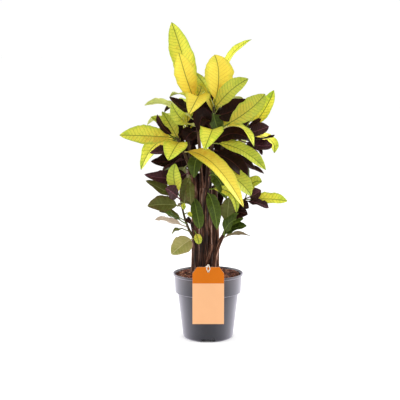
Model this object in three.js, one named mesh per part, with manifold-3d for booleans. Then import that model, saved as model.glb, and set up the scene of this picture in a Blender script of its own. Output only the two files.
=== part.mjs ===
// A potted croton: a nursery pot full of bark soil, nine leafy stems that stand in plain holes in
// it, and a card that a string hangs from the front stem. Millimetres, +Z up, the front towards
// -Y, and the origin on the ground under the pot's centre.
import * as THREE from 'three';
import { mergeVertices } from 'three/addons/utils/BufferGeometryUtils.js';
import Module from 'manifold-3d';

const wasm = await Module();
wasm.setup();

// ---------------------------------------------------------------- driving dimensions
const GAP = 0.3; // between pieces that touch

const POT = {
  height: 160,
  lip: 85, // outer radius
  collarTop: 82,
  collarFoot: 79.8,
  bodyTop: 73.6,
  bodyFoot: 60.4,
  collarZ: 112, // where the collar steps out
  step: 2, // height of that step
  lipZ: 154.5,
  lipEase: 1, // how far the lip's edges are taken back
  wall: 1.4,
  floor: 2,
  heel: 6,
  heelSteps: 2,
  innerHeel: 4, // how far the floor's inner edge is taken in
  sides: 36,
};
const CHANNEL = { count: 4, low: 38, top: 28, height: 7, start: 30 };
const DRAIN = { radius: 4, from: 45, long: 20, sides: 10 }; // from: its distance from the pot's axis
const SOIL = {
  edge: 155.5, // its top at the wall
  mound: 4,
  relief: 1.6,
  bottom: POT.floor + CHANNEL.height + GAP,
  rings: 4,
  sides: 36,
};
const CARD = { width: 75, height: 138, bottom: 51.5, thick: 0.8, cutWide: 11, cutHigh: 15 };
const HOLE = { radius: 3.3, belowTop: 10, segments: 8 };
const STRING = { radius: 1.2, teardrop: 3.8, loopZ: 168, slack: 0.45, sides: 5, steps: 32 };
const KNOT = { radius: 3.9, sides: 8, rings: 5 };
const WOOD = { sides: 7, steps: 4, overlap: 0.04 }; // overlap: of its length, back into what carries it
const CANE_HOLE = { wider: GAP + 0.1, deeper: 0.01 }; // than the cane: in mm, and as a share of its length
const BLADE = { thick: 1.2, tip: 0.6, fold: 0.3, wave: 2.4, waves: 1.6, shift: 2 }; // angles in radians
const LANCE = { widest: 0.47, foot: 0.7, tip: 0.74 }; // where a blade is widest, and its ends' powers
const PETIOLE = { length: 14, radius: 1.6, thick: 3 };
const STATIONS = { long: [0.14, 0.42, 0.74, 1], short: [0.22, 0.62, 1], small: [0.4, 1] }; // of a blade
const SHORT_LEAF = 104; // shorter ones have fewer stations
const SMALL_LEAF = 76;

// The eye that the places of the leaves are measured for: its distance in front of the pot's
// centre, its height, and how far it stands to the left.
const EYE = new THREE.Vector3(-19.6, -3000, 750);

// ---------------------------------------------------------------- the stems and their leaves
// wood: name, root, middle, end, radius at the root, radius at the end; true places.
// leaves: the wood that carries it and how far up it, the blade's middle and its tip as seen from
// the front (across, up, depth), width, the way the upper side faces, and the petiole's length
// where it isn't the usual one.
// back: leaves on the far side: the wood and how far up it, the way round from +X and the rise, both
// in degrees, and the length.
const STEMS = {
  stem_left: {
    wood: [
      ['cane', [-39, 4, 85], [-34, 4, 270], [-44, 2, 411], 7, 5],
      ['tip', [-44, 2, 411], [-58, -4, 455], [-77, -10, 492], 4.3, 3],
    ],
    leaves: [
      ['tip', 0.96, [-143, 493, -24], [-213, 495, -34], 52, [0, -0.85, 0.5], 18],
      ['tip', 0.92, [-102, 517, 6], [-138, 539, 8], 34, [0.5, -0.7, 0.5]],
      ['tip', 0.9, [-87, 512, -20], [-111, 552, -26], 34, [0.3, -0.9, 0.3]],
      ['tip', 0.99, [-107, 514, -44], [-122, 545, -56], 18, [-0.5, -0.8, 0.4]],
      ['tip', 0.8, [-78, 467, -58], [-96, 434, -96], 58, [0, -0.7, 0.9]],
      ['tip', 0.85, [-124, 474, 10], [-162, 411, 6], 42, [-0.35, -0.85, 0.4]],
      ['tip', 0.7, [-97, 457, -30], [-141, 452, -48], 40, [-0.1, -0.6, 0.8]],
      ['tip', 0.5, [-92, 433, -8], [-138, 432, -16], 40, [0, -0.8, 0.6]],
      ['tip', 0.3, [-83, 426, -34], [-116, 403, -52], 32, [-0.5, 0.1, 0.85]],
      ['cane', 0.98, [-92, 391, -28], [-154, 400, -42], 40, [0.1, -0.8, 0.6]],
      ['tip', 0.15, [-67, 400, 26], [-76, 362, 30], 38, [0, -1, 0.1]],
      ['tip', 0.8, [-65, 440, 20], [-62, 398, 16], 34, [0, -1, 0.1]],
      ['cane', 0.96, [-53, 370, -22], [-58, 326, -26], 30, [-0.2, -1, 0.2]],
      ['cane', 0.94, [-44, 362, -30], [-41, 328, -36], 26, [0.1, -1, 0.2]],
      ['cane', 0.8, [-27, 306, -34], [-20, 267, -38], 31, [0.1, -1, 0.2]],
      ['tip', 0.5, [12, 426, -78], [86, 320, -96], 54, [0.3, -0.7, 0.8]],
    ],
    back: [
      ['tip', 0.6, 152, 22, 116],
      ['tip', 0.78, 122, 44, 104],
      ['tip', 0.4, 138, 2, 118],
    ],
  },
  stem_low_left: {
    wood: [
      ['cane', [-29, -21, 85], [-29, -22, 210], [-38, -27, 288], 6.5, 6],
      ['twig', [-33, -24, 249], [-53, -38, 290], [-67, -34, 352], 3.4, 2.2],
    ],
    leaves: [
      ['twig', 0.98, [-82, 386, -48], [-79, 427, -56], 36, [0, -1, 0.1]],
      ['twig', 0.95, [-109, 362, -40], [-151, 385, -46], 38, [0.1, -0.6, 0.8]],
      ['twig', 0.93, [-85, 355, -60], [-103, 366, -76], 36, [0, -0.9, 0.4]],
      ['twig', 0.82, [-104, 327, -38], [-147, 323, -48], 44, [0, -0.85, 0.5]],
      ['twig', 0.52, [-90, 304, -42], [-118, 309, -52], 32, [0.1, -0.5, 0.85]],
      ['twig', 0.45, [-83, 296, -66], [-104, 306, -82], 26, [0, -0.5, 0.85]],
      ['twig', 0.36, [-95, 286, -34], [-129, 290, -36], 28, [0, 0.6, 0.8]],
      ['twig', 0.22, [-70, 267, -50], [-88, 254, -58], 11, [0, -0.5, 0.85]],
      ['cane', 0.72, [-60, 229, -46], [-89, 204, -62], 48, [0, -0.9, 0.4]],
      ['cane', 0.86, [-26, 247, -44], [-22, 229, -50], 20, [0.1, -1, 0.3]],
      ['twig', 0.9, [-61, 328, -50], [-58, 314, -58], 12, [0.1, -1, 0.3]],
      ['twig', 0.66, [-49, 306, -48], [-41, 296, -54], 12, [0.1, -1, 0.4]],
      ['twig', 0.5, [-51, 292, -50], [-41, 279, -56], 14, [0.1, -1, 0.4]],
    ],
    back: [],
  },
  stem_front: {
    wood: [
      ['cane', [-10, -14, 85], [-9, -15, 270], [-3, -14, 369], 9.5, 7],
      ['tip', [-3, -14, 369], [2, -16, 437], [9, -18, 504], 6.3, 4],
      ['stub', [-6, -15, 180], [4, -21, 205], [7, -22, 233], 5, 5],
    ],
    leaves: [
      ['tip', 0.97, [9, 505, -64], [-9, 460, -108], 58, [0, -0.7, 0.9]],
      ['tip', 0.93, [70, 516, -52], [110, 468, -72], 36, [0.3, -0.25, 0.9], 30],
      ['tip', 0.99, [89, 548, -40], [136, 594, -50], 54, [-0.1, -0.9, 0.5], 38],
      ['tip', 0.8, [75, 461, -50], [139, 411, -76], 46, [0.1, -0.6, 0.8], 24],
      ['tip', 0.3, [61, 392, -50], [104, 348, -62], 54, [0.3, -0.8, 0.6]],
      ['cane', 0.97, [53, 355, -46], [68, 306, -56], 24, [0.2, -1, 0.3]],
      ['tip', 0.62, [55, 433, -32], [94, 389, -38], 48, [0.2, -0.8, 0.6]],
      ['tip', 0.7, [68, 440, -13], [113, 411, -12], 32, [0.1, -0.6, 0.8]],
      ['cane', 0.93, [12, 326, -38], [22, 265, -40], 33, [0.2, -1, 0.2]],
      ['tip', 1, [-12, 539, -40], [-22, 503, -64], 46, [0, -1, 0.3]],
      ['tip', 0.75, [52, 498, -24], [98, 486, -32], 44, [0.1, -0.8, 0.6]],
      ['tip', 0.2, [22, 392, -30], [44, 340, -36], 40, [0.2, -1, 0.2]],
    ],
    back: [],
  },
  stem_top_left: {
    wood: [
      ['cane', [-16, 12, 85], [-15, 11, 270], [-15, 8, 366], 8, 5.5],
      ['tip', [-15, 8, 366], [-22, 4, 483], [-34, 0, 584], 4.8, 3],
    ],
    leaves: [
      ['tip', 0.99, [-58, 675, 12], [-87, 764, 10], 60, [-0.2, -1, 0.1], 20],
      ['tip', 0.96, [-53, 634, -24], [-70, 692, -36], 54, [0, -1, 0.2]],
      ['tip', 0.93, [-24, 587, -52], [-46, 545, -98], 60, [0, -0.8, 0.8]],
      ['tip', 0.98, [-17, 613, 6], [-32, 646, 8], 26, [0.3, -0.9, 0.2]],
      ['tip', 0.84, [-58, 560, -28], [-93, 587, -40], 36, [0.2, -0.7, 0.8]],
      ['tip', 0.66, [-60, 530, -34], [-88, 573, -52], 40, [-0.5, -0.6, 0.7]],
      ['tip', 0.7, [-97, 568, 24], [-153, 566, 18], 34, [-0.1, 0.55, 0.8]],
      ['tip', 0.6, [-42, 500, -20], [-56, 482, -22], 40, [0, -0.9, 0.4]],
      ['tip', 0.3, [-30, 432, -20], [-34, 392, -24], 36, [-0.1, -1, 0.2]],
    ],
    back: [
      ['tip', 0.93, 118, 46, 112],
      ['tip', 0.88, 90, 24, 122],
      ['tip', 0.84, 138, 24, 100],
      ['tip', 0.8, 106, 24, 114],
      ['tip', 0.75, 140, 10, 112],
    ],
  },
  stem_top_right: {
    wood: [
      ['cane', [6, 16, 85], [4, 17, 270], [4, 17, 365], 7.5, 5.5],
      ['tip', [4, 17, 365], [10, 14, 470], [14, 8, 567], 4.8, 3],
    ],
    leaves: [
      ['tip', 0.99, [25, 634, 4], [15, 687, 28], 72, [0.1, -1, 0.15]],
      ['tip', 0.98, [43, 666, 46], [103, 723, 52], 34, [-0.5, -0.5, 0.7]],
      ['tip', 0.97, [-3, 606, -30], [-26, 637, -46], 30, [-0.6, -0.6, 0.5]],
      ['tip', 0.96, [7, 599, 6], [0, 625, 10], 14, [0, -1, 0.2]],
      ['tip', 0.93, [51, 599, -26], [96, 630, -38], 46, [0.1, -0.9, 0.6]],
      ['tip', 0.88, [53, 551, -8], [92, 582, -12], 56, [0.1, -0.9, 0.5]],
      ['tip', 0.9, [16, 531, -4], [28, 498, -2], 38, [0.25, -0.9, 0.2], 8],
      ['tip', 0.7, [-6, 530, 36], [-12, 586, 38], 44, [0, -1, 0.1]],
    ],
    back: [
      ['tip', 0.92, 74, 20, 116],
      ['tip', 0.84, 116, 36, 116],
      ['tip', 0.86, 30, 20, 112],
      ['tip', 0.81, 94, 20, 120],
      ['tip', 0.76, 48, 14, 112],
    ],
  },
  stem_right: {
    wood: [
      ['cane', [20, -2, 85], [21, 2, 270], [16, 8, 366], 6.5, 5],
      ['tip', [16, 8, 366], [48, 6, 435], [89, 0, 503], 3.9, 2.8],
    ],
    leaves: [
      ['tip', 0.99, [130, 548, 8], [157, 603, 4], 38, [-0.4, -0.9, 0.2], 26],
      ['tip', 0.95, [145, 486, 34], [159, 452, 40], 28, [0.2, -0.8, 0.5]],
      ['tip', 0.97, [82, 522, -12], [77, 540, -10], 34, [0, -1, 0.3]],
      ['tip', 0.98, [109, 522, -14], [127, 534, -18], 14, [0, -1, 0.3]],
      ['tip', 0.96, [116, 505, -36], [146, 516, -52], 40, [0.1, -0.85, 0.5]],
      ['tip', 0.9, [130, 486, -28], [160, 496, -36], 16, [0.1, -0.4, 0.9]],
      ['tip', 0.85, [126, 469, -38], [154, 474, -52], 36, [0.1, -0.8, 0.6]],
      ['tip', 0.8, [113, 464, -18], [130, 447, -24], 14, [0.1, -0.6, 0.8]],
      ['tip', 0.3, [88, 418, 14], [135, 402, 12], 26, [0.1, -0.4, 0.9]],
    ],
    back: [
      ['tip', 0.93, 52, 34, 106],
      ['tip', 0.8, 62, 16, 120],
      ['tip', 0.5, 34, -4, 112],
    ],
  },
  stem_low_right: {
    wood: [
      ['cane', [14, -22, 85], [16, -21, 190], [36, -16, 252], 6, 5],
      ['tip', [36, -16, 252], [57, -16, 296], [91, -16, 345], 4.3, 2.6],
    ],
    leaves: [
      ['tip', 0.98, [106, 377, -26], [130, 382, -36], 34, [-0.4, -0.7, 0.4]],
      ['tip', 0.99, [108, 349, -24], [128, 362, -32], 36, [0, -0.9, 0.5]],
      ['tip', 0.96, [143, 340, -30], [192, 335, -38], 38, [0.1, -0.7, 0.7]],
      ['tip', 0.93, [118, 331, -46], [147, 318, -58], 28, [0.1, -0.6, 0.8]],
      ['tip', 0.6, [75, 323, -34], [99, 318, -42], 34, [0, -0.8, 0.6]],
      ['tip', 0.4, [68, 305, -34], [96, 302, -44], 38, [0, -0.9, 0.5]],
      ['tip', 0.25, [48, 313, -32], [52, 345, -37], 38, [0, -1, 0.2]],
      ['cane', 0.99, [54, 282, -37], [86, 292, -48], 42, [0, -0.7, 0.7]],
      ['cane', 0.97, [60, 267, -30], [94, 274, -40], 34, [0.1, -0.6, 0.8]],
      ['cane', 0.93, [65, 253, -28], [103, 250, -34], 26, [0, 0.45, 0.9]],
    ],
    back: [],
  },
  stem_back_left: {
    wood: [
      ['cane', [-30, 26, 85], [-28, 29, 270], [-36, 33, 400], 6.5, 5],
      ['tip', [-36, 33, 400], [-46, 40, 460], [-50, 50, 510], 4.3, 3],
    ],
    leaves: [
      ['cane', 0.97, [-27, 388, 54], [-20, 328, 52], 42, [0, -1, 0.1]],
      ['tip', 0.5, [-33, 498, 60], [-31, 564, 66], 46, [0, -1, 0]],
      ['tip', 0.9, [-44, 454, 62], [-44, 410, 56], 40, [0, -1, 0.1]],
      ['tip', 0.97, [-66, 498, 36], [-92, 476, 28], 38, [0, -1, 0.1]],
    ],
    back: [
      ['tip', 0.98, 92, 36, 128],
      ['tip', 0.9, 146, 8, 132],
      ['tip', 0.8, 74, 14, 140],
      ['tip', 0.66, 110, -2, 146],
      ['tip', 0.5, 158, 4, 112],
      ['tip', 0.3, 84, -14, 134],
      ['tip', 0.1, 130, -18, 124],
      ['cane', 0.94, 100, -8, 118],
      ['cane', 0.84, 152, -4, 100],
      ['cane', 0.74, 112, 10, 92],
      ['cane', 0.6, 138, 16, 70],
    ],
  },
  stem_back_right: {
    wood: [
      ['cane', [12, 38, 85], [14, 37, 270], [24, 39, 400], 6.5, 5],
      ['tip', [24, 39, 400], [34, 45, 455], [38, 54, 505], 4.3, 3],
    ],
    leaves: [
      ['tip', 0.35, [-2, 434, 68], [0, 374, 70], 44, [0, -1, 0.1]],
      ['tip', 0.7, [15, 484, 66], [4, 534, 74], 50, [0, -1, 0]],
      ['tip', 0.93, [34, 454, 66], [44, 402, 62], 44, [0, -1, 0.1]],
      ['cane', 0.9, [18, 356, 62], [22, 306, 60], 42, [0, -1, 0.1]],
    ],
    back: [
      ['tip', 0.98, 98, 32, 124],
      ['tip', 0.9, 36, 6, 128],
      ['tip', 0.8, 104, 12, 142],
      ['tip', 0.64, 66, -4, 148],
      ['tip', 0.5, 22, 6, 104],
      ['tip', 0.3, 90, -14, 132],
      ['tip', 0.12, 48, -18, 126],
      ['cane', 0.94, 80, -10, 120],
      ['cane', 0.84, 28, -2, 98],
      ['cane', 0.72, 64, 12, 88],
      ['cane', 0.58, 40, 16, 66],
    ],
  },
};

// ---------------------------------------------------------------- colours
const COLOURS = {
  pot: ['#5a5a63', 0.45],
  soil: ['#55301f', 0.95],
  stem: ['#8f9a2c', 0.5],
  card: ['#f2a95c', 0.6],
  string: ['#f1e9df', 0.8],
};

function material(name) {
  const [color, roughness] = COLOURS[name];
  return new THREE.MeshStandardMaterial({ color, roughness, metalness: 0, flatShading: true });
}

// ---------------------------------------------------------------- solids
const MERGE = 1e-4; // corners closer than this are one corner

// A closed mesh becomes a solid that can be joined and cut.
function solidOf(geometry) {
  const bare = new THREE.BufferGeometry();
  bare.setAttribute('position', geometry.getAttribute('position').clone());
  if (geometry.index) bare.setIndex(geometry.index);
  const merged = mergeVertices(bare, MERGE);
  const index = Array.from(merged.index.array);
  const corners = [];
  for (let i = 0; i < index.length; i += 3) {
    const [a, b, c] = index.slice(i, i + 3);
    if (a !== b && b !== c && c !== a) corners.push(a, b, c);
  }
  return new wasm.Manifold(new wasm.Mesh({
    numProp: 3,
    vertProperties: new Float32Array(merged.getAttribute('position').array),
    triVerts: new Uint32Array(corners),
  }));
}

function geometryOf(solid) {
  const mesh = solid.getMesh();
  const geometry = new THREE.BufferGeometry();
  geometry.setAttribute('position', new THREE.BufferAttribute(mesh.vertProperties, 3));
  geometry.setIndex(new THREE.BufferAttribute(mesh.triVerts, 1));
  geometry.computeVertexNormals();
  return geometry;
}

function joined(solids) {
  return solids.reduce((whole, solid) => whole.add(solid));
}

// A closed skin over rings of points, each ring running anticlockwise as seen from the far end.
// crosswise lists the sides of a ring whose squares are halved along their other diagonal.
function loft(rings, crosswise = []) {
  const count = rings[0].length;
  const positions = rings.flat().flatMap((p) => [p.x, p.y, p.z]);
  const index = [];
  for (let i = 0; i + 1 < rings.length; i++) {
    for (let j = 0; j < count; j++) {
      const a = i * count + j;
      const b = i * count + ((j + 1) % count);
      const c = b + count;
      const d = a + count;
      if (crosswise.includes(j)) index.push(a, b, d, b, c, d);
      else index.push(a, b, c, a, c, d);
    }
  }
  const last = (rings.length - 1) * count;
  for (let j = 1; j + 1 < count; j++) {
    index.push(0, j + 1, j, last, last + j, last + j + 1);
  }
  const geometry = new THREE.BufferGeometry();
  geometry.setAttribute('position', new THREE.Float32BufferAttribute(positions, 3));
  geometry.setIndex(index);
  return geometry;
}

// ---------------------------------------------------------------- lines that stems and leaves follow
const vector = ([x, y, z]) => new THREE.Vector3(x, y, z);
const degrees = THREE.MathUtils.degToRad;

// A place measured from the front: across and up on the upright plane through the pot's centre,
// and how far behind that plane the thing itself lies.
function seen([across, up, depth]) {
  const onPlane = new THREE.Vector3(across, 0, up);
  return EYE.clone().lerp(onPlane, (depth - EYE.y) / -EYE.y);
}

// A curve that bends evenly from a, through m at its middle, to b.
function bow(a, m, b) {
  const control = m.clone().multiplyScalar(2).addScaledVector(a, -0.5).addScaledVector(b, -0.5);
  return new THREE.QuadraticBezierCurve3(a, control, b);
}

// The curve's point and direction, also a little before its start.
function along(curve, t) {
  const { v0, v1, v2 } = curve;
  const point = v0.clone().multiplyScalar((1 - t) ** 2)
    .addScaledVector(v1, 2 * t * (1 - t)).addScaledVector(v2, t * t);
  const direction = v1.clone().sub(v0).multiplyScalar(1 - t)
    .addScaledVector(v2.clone().sub(v1), t).normalize();
  return { point, direction };
}

// A ring of points round a line, square to its direction. across says where the first one lies.
function circle({ point, direction }, radius, sides, across) {
  const e1 = across.clone().addScaledVector(direction, -across.dot(direction)).normalize();
  const e2 = direction.clone().cross(e1);
  return Array.from({ length: sides }, (_, k) => {
    const angle = (2 * Math.PI * k) / sides;
    return point.clone().addScaledVector(e1, radius * Math.cos(angle))
      .addScaledVector(e2, radius * Math.sin(angle));
  });
}

// ---------------------------------------------------------------- a stem
const ACROSS_WOOD = new THREE.Vector3(1, 0, 0); // no wood runs along it

// One wood of a stem, or the hole for it, which is wider and runs deeper.
function woodSolid([, a, m, b, r0, r1], { wider, deeper } = { wider: 0, deeper: 0 }) {
  const curve = bow(vector(a), vector(m), vector(b));
  const start = -WOOD.overlap - deeper;
  const rings = [];
  for (let i = 0; i <= WOOD.steps; i++) {
    const t = start + ((1 - start) * i) / WOOD.steps;
    const radius = r0 + (r1 - r0) * Math.max(t, 0) + wider;
    rings.push(circle(along(curve, t), radius, WOOD.sides, ACROSS_WOOD));
  }
  return solidOf(loft(rings));
}

// The share of its greatest width that a blade has at s, from 0 at its foot to 1 at its tip.
function lance(s) {
  return ((s / LANCE.widest) ** LANCE.foot) * (((1 - s) / (1 - LANCE.widest)) ** LANCE.tip);
}

// The ring of six points round a leaf at u: along the middle and both edges, above and below.
function leafRing(leaf, u) {
  const { point, direction } = along(leaf.curve, u);
  const up = leaf.face.clone().addScaledVector(direction, -leaf.face.dot(direction)).normalize();
  const side = up.clone().cross(direction);
  const s = (u - leaf.foot) / (1 - leaf.foot);
  const onBlade = s > 0;
  const share = onBlade ? lance(Math.min(s, 1)) : 0;
  const wide = (leaf.width / 2) * share;
  const half = Math.max(wide, s < LANCE.widest ? PETIOLE.radius : BLADE.tip);
  const thick = onBlade ? BLADE.thick : PETIOLE.thick;
  const place = (v, above) => {
    const turn = 2 * Math.PI * BLADE.waves * s + (v > 0 ? 0 : BLADE.shift);
    const lift = Math.abs(v) * (wide * Math.sin(BLADE.fold) + BLADE.wave * share * Math.sin(turn));
    return point.clone().addScaledVector(side, v * half * Math.cos(BLADE.fold))
      .addScaledVector(up, lift + (above * thick) / 2);
  };
  return [place(0, 1), place(-1, 1), place(-1, -1), place(0, -1), place(1, -1), place(1, 1)];
}

const LEAF_CROSSWISE = [2, 5]; // so that a blade's two faces are halved alike

function leafSolid(leaf) {
  const size = leaf.length < SMALL_LEAF ? 'small' : leaf.length < SHORT_LEAF ? 'short' : 'long';
  const blade = STATIONS[size].map((s) => leaf.foot + (1 - leaf.foot) * s);
  return solidOf(loft([0, leaf.foot, ...blade].map((u) => leafRing(leaf, u)), LEAF_CROSSWISE));
}

function leafOf(base, middle, tip, width, face, petiole = PETIOLE.length) {
  const length = base.distanceTo(middle) + middle.distanceTo(tip);
  const curve = bow(base, middle, tip);
  return { curve, length, width, face: face.clone().normalize(), foot: petiole / length };
}

// A far leaf's width and reach as shares of its length, its arch in degrees, how many mm its tip
// hangs, and how far its upper side leans towards the stem.
const FAR = { slender: 0.36, reach: 0.94, arch: 22, hang: 8, lean: 0.4 };

// A leaf on the far side, which the front does not show: it leaves its wood at base, points the
// given way round and up, and arches over.
function farLeaf(base, around, rise, length) {
  const out = new THREE.Vector3(Math.cos(degrees(around)), Math.sin(degrees(around)), 0);
  const reach = (angle, far) => base.clone()
    .addScaledVector(out, far * Math.cos(degrees(angle)))
    .add(new THREE.Vector3(0, 0, far * Math.sin(degrees(angle))));
  const middle = reach(rise + FAR.arch, length / 2);
  const tip = reach(rise, FAR.reach * length);
  tip.z -= FAR.hang;
  const face = out.clone().multiplyScalar(-FAR.lean).setZ(1);
  return leafOf(base, middle, tip, FAR.slender * length, face);
}

function leavesOf(stem) {
  const woods = {};
  for (const [name, a, m, b] of stem.wood) woods[name] = bow(vector(a), vector(m), vector(b));
  const root = (wood, t) => along(woods[wood], t).point;
  const front = stem.leaves.map(([wood, t, middle, tip, width, face, petiole]) =>
    leafOf(root(wood, t), seen(middle), seen(tip), width, vector(face), petiole));
  const far = stem.back.map(([wood, t, around, rise, length]) =>
    farLeaf(root(wood, t), around, rise, length));
  return [...front, ...far];
}

function stemSolid(stem) {
  return joined([...stem.wood.map((wood) => woodSolid(wood)), ...leavesOf(stem).map(leafSolid)]);
}

// ---------------------------------------------------------------- the pot
const point2 = ([r, z]) => new THREE.Vector2(r, z);

// A profile of [radius, height] points, turned round the upright axis.
function turned(profile, sides) {
  return new THREE.LatheGeometry(profile.map(point2), sides).rotateX(Math.PI / 2);
}

// The outside from the middle of the floor to the lip's top edge.
function outline() {
  const { bodyFoot, bodyTop, collarFoot, collarTop, collarZ, step, heel, heelSteps } = POT;
  const { lip, lipZ, lipEase, height } = POT;
  const curve = [];
  for (let i = 0; i <= heelSteps; i++) {
    const angle = (Math.PI / 2) * (i / heelSteps);
    curve.push([bodyFoot - heel + heel * Math.sin(angle), heel - heel * Math.cos(angle)]);
  }
  return [
    [0, 0],
    ...curve,
    [bodyTop, collarZ - step / 2],
    [collarFoot, collarZ + step / 2],
    [collarTop, lipZ - lipEase],
    [lip - lipEase / 2, lipZ],
    [lip, lipZ + lipEase],
    [lip, height - lipEase],
    [lip - lipEase, height],
  ];
}

// The inside radius at height z.
function inside(z) {
  const { bodyFoot, bodyTop, collarFoot, collarTop, collarZ, lipZ, wall } = POT;
  if (z <= collarZ) return bodyFoot - wall + ((bodyTop - bodyFoot) * z) / collarZ;
  return collarFoot - wall + ((collarTop - collarFoot) * (z - collarZ)) / (lipZ - collarZ);
}

function potShell() {
  const { height, collarZ, step, lip, lipZ, wall, floor, heel, innerHeel, sides } = POT;
  return solidOf(turned([
    ...outline(),
    [lip - wall, height],
    [inside(lipZ), lipZ],
    [inside(collarZ + step / 2), collarZ + step / 2],
    [inside(collarZ), collarZ - step / 2],
    [inside(heel), heel],
    [inside(heel) - innerHeel, floor],
    [0, floor],
  ], sides));
}

// A four-cornered bar that runs out from the pot's axis, wider at its foot than at its top. It
// starts a little below the ground, so that it cuts the foot clean.
function channelBar(low, top, height, from, to) {
  const under = 1;
  const shape = new THREE.Shape([
    new THREE.Vector2(-low / 2, -under),
    new THREE.Vector2(low / 2, -under),
    new THREE.Vector2(top / 2, height),
    new THREE.Vector2(-top / 2, height),
  ]);
  const bar = new THREE.ExtrudeGeometry(shape, { depth: to - from, bevelEnabled: false });
  return bar.rotateX(Math.PI / 2).translate(0, -from, 0); // now runs towards -Y
}

function potSolid() {
  const { count, low, top, height, start } = CHANNEL;
  const { wall, floor, lip } = POT;
  const body = solidOf(turned([...outline(), [0, POT.height]], POT.sides));
  let pot = potShell();
  for (let k = 0; k < count; k++) {
    const turn = (2 * Math.PI * k) / count;
    const roof = channelBar(low + 2 * wall, top + 2 * wall, height + floor, start - wall, lip);
    pot = pot.add(solidOf(roof.rotateZ(turn)).intersect(body));
  }
  for (let k = 0; k < count; k++) {
    const turn = (2 * Math.PI * k) / count;
    const drain = new THREE.CylinderGeometry(DRAIN.radius, DRAIN.radius, DRAIN.long, DRAIN.sides);
    drain.rotateX(Math.PI / 2).translate(0, -DRAIN.from, height).rotateZ(turn);
    pot = pot.subtract(solidOf(channelBar(low, top, height, start, lip).rotateZ(turn)));
    pot = pot.subtract(solidOf(drain));
  }
  return pot;
}

// ---------------------------------------------------------------- the soil
// Bark lumps: two crossing sets of waves, each with its share of the relief, its two directions
// in radians per mm, and the shift of its second one.
const LUMPS = [
  { share: 0.6, first: [0.31, 0.11], second: [-0.09, 0.27], shift: 1 },
  { share: 0.5, first: [0.73, -0.4], second: [0.35, 0.66], shift: 0 },
];

// How far the soil's top stands up at a point.
function lumps(x, y) {
  const wave = ([a, b], shift) => Math.sin(a * x + b * y + shift);
  return LUMPS.reduce((height, { share, first, second, shift }) =>
    height + SOIL.relief * share * wave(first, 0) * wave(second, shift), 0);
}

function soilSolid() {
  const { edge, mound, bottom, rings, sides } = SOIL;
  const { collarZ, step } = POT;
  const rim = inside(edge) - GAP;
  const profile = [
    [0, bottom],
    [inside(bottom) - GAP, bottom],
    [inside(collarZ) - 2 * GAP, collarZ - step / 2],
    [inside(collarZ + step) - 2 * GAP, collarZ + step],
    [rim, edge],
  ];
  for (let i = rings - 1; i >= 0; i--) {
    profile.push([(rim * i) / rings, edge + mound * (1 - (i / rings) ** 2)]);
  }
  const soil = turned(profile, sides);
  const places = soil.getAttribute('position');
  for (let i = 0; i < places.count; i++) {
    const [x, y, z] = [places.getX(i), places.getY(i), places.getZ(i)];
    if (z > edge + MERGE) places.setZ(i, z + lumps(x, y));
  }
  return Object.values(STEMS)
    .reduce((solid, stem) => solid.subtract(woodSolid(stem.wood[0], CANE_HOLE)), solidOf(soil));
}

// ---------------------------------------------------------------- the card and its string
const CARD_BACK = -POT.lip - GAP;
const CARD_TOP = CARD.bottom + CARD.height;
const HOLE_Z = CARD_TOP - HOLE.belowTop;

function cardSolid() {
  const { width, height, bottom, thick, cutWide, cutHigh } = CARD;
  const shape = new THREE.Shape([
    new THREE.Vector2(-width / 2, 0),
    new THREE.Vector2(width / 2, 0),
    new THREE.Vector2(width / 2, height - cutHigh),
    new THREE.Vector2(width / 2 - cutWide, height),
    new THREE.Vector2(cutWide - width / 2, height),
    new THREE.Vector2(-width / 2, height - cutHigh),
  ]);
  const hole = new THREE.Path().absarc(0, height - HOLE.belowTop, HOLE.radius, 0, 2 * Math.PI, true);
  shape.holes.push(hole);
  const extent = { depth: thick, bevelEnabled: false, curveSegments: HOLE.segments };
  const card = new THREE.ExtrudeGeometry(shape, extent);
  return solidOf(card.rotateX(Math.PI / 2).translate(0, CARD_BACK, bottom));
}

// The way of a strand from the knot to the stem: how far aside, in teardrops or at the string's
// own half width, how far in front of the card's back, and how far above the hole.
const OVER = HOLE.belowTop; // the card's top edge, above the hole
const FRONT = CARD.thick + STRING.radius + GAP;
const WAY = [
  { aside: 0, front: -4, up: 0 },
  { aside: 0, front: CARD.thick / 2, up: 0 },
  { aside: 0.6, front: FRONT, up: 2.2 },
  { aside: 1, front: FRONT, up: 6 },
  { aside: 0.7, front: FRONT, up: OVER + 0.6 },
  { aside: 0, front: 1, up: OVER + 4.4 },
  { aside: 0, front: -9, up: OVER + 1.5 },
];
const BETWEEN = 0.1; // half the space between the strands where they lie side by side
const LOOP = { from: -4, to: 96, places: 6 }; // round the front stem, in degrees from its side
const ACROSS_STRING = new THREE.Vector3(1, 0.35, 0); // no strand runs along it

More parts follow.
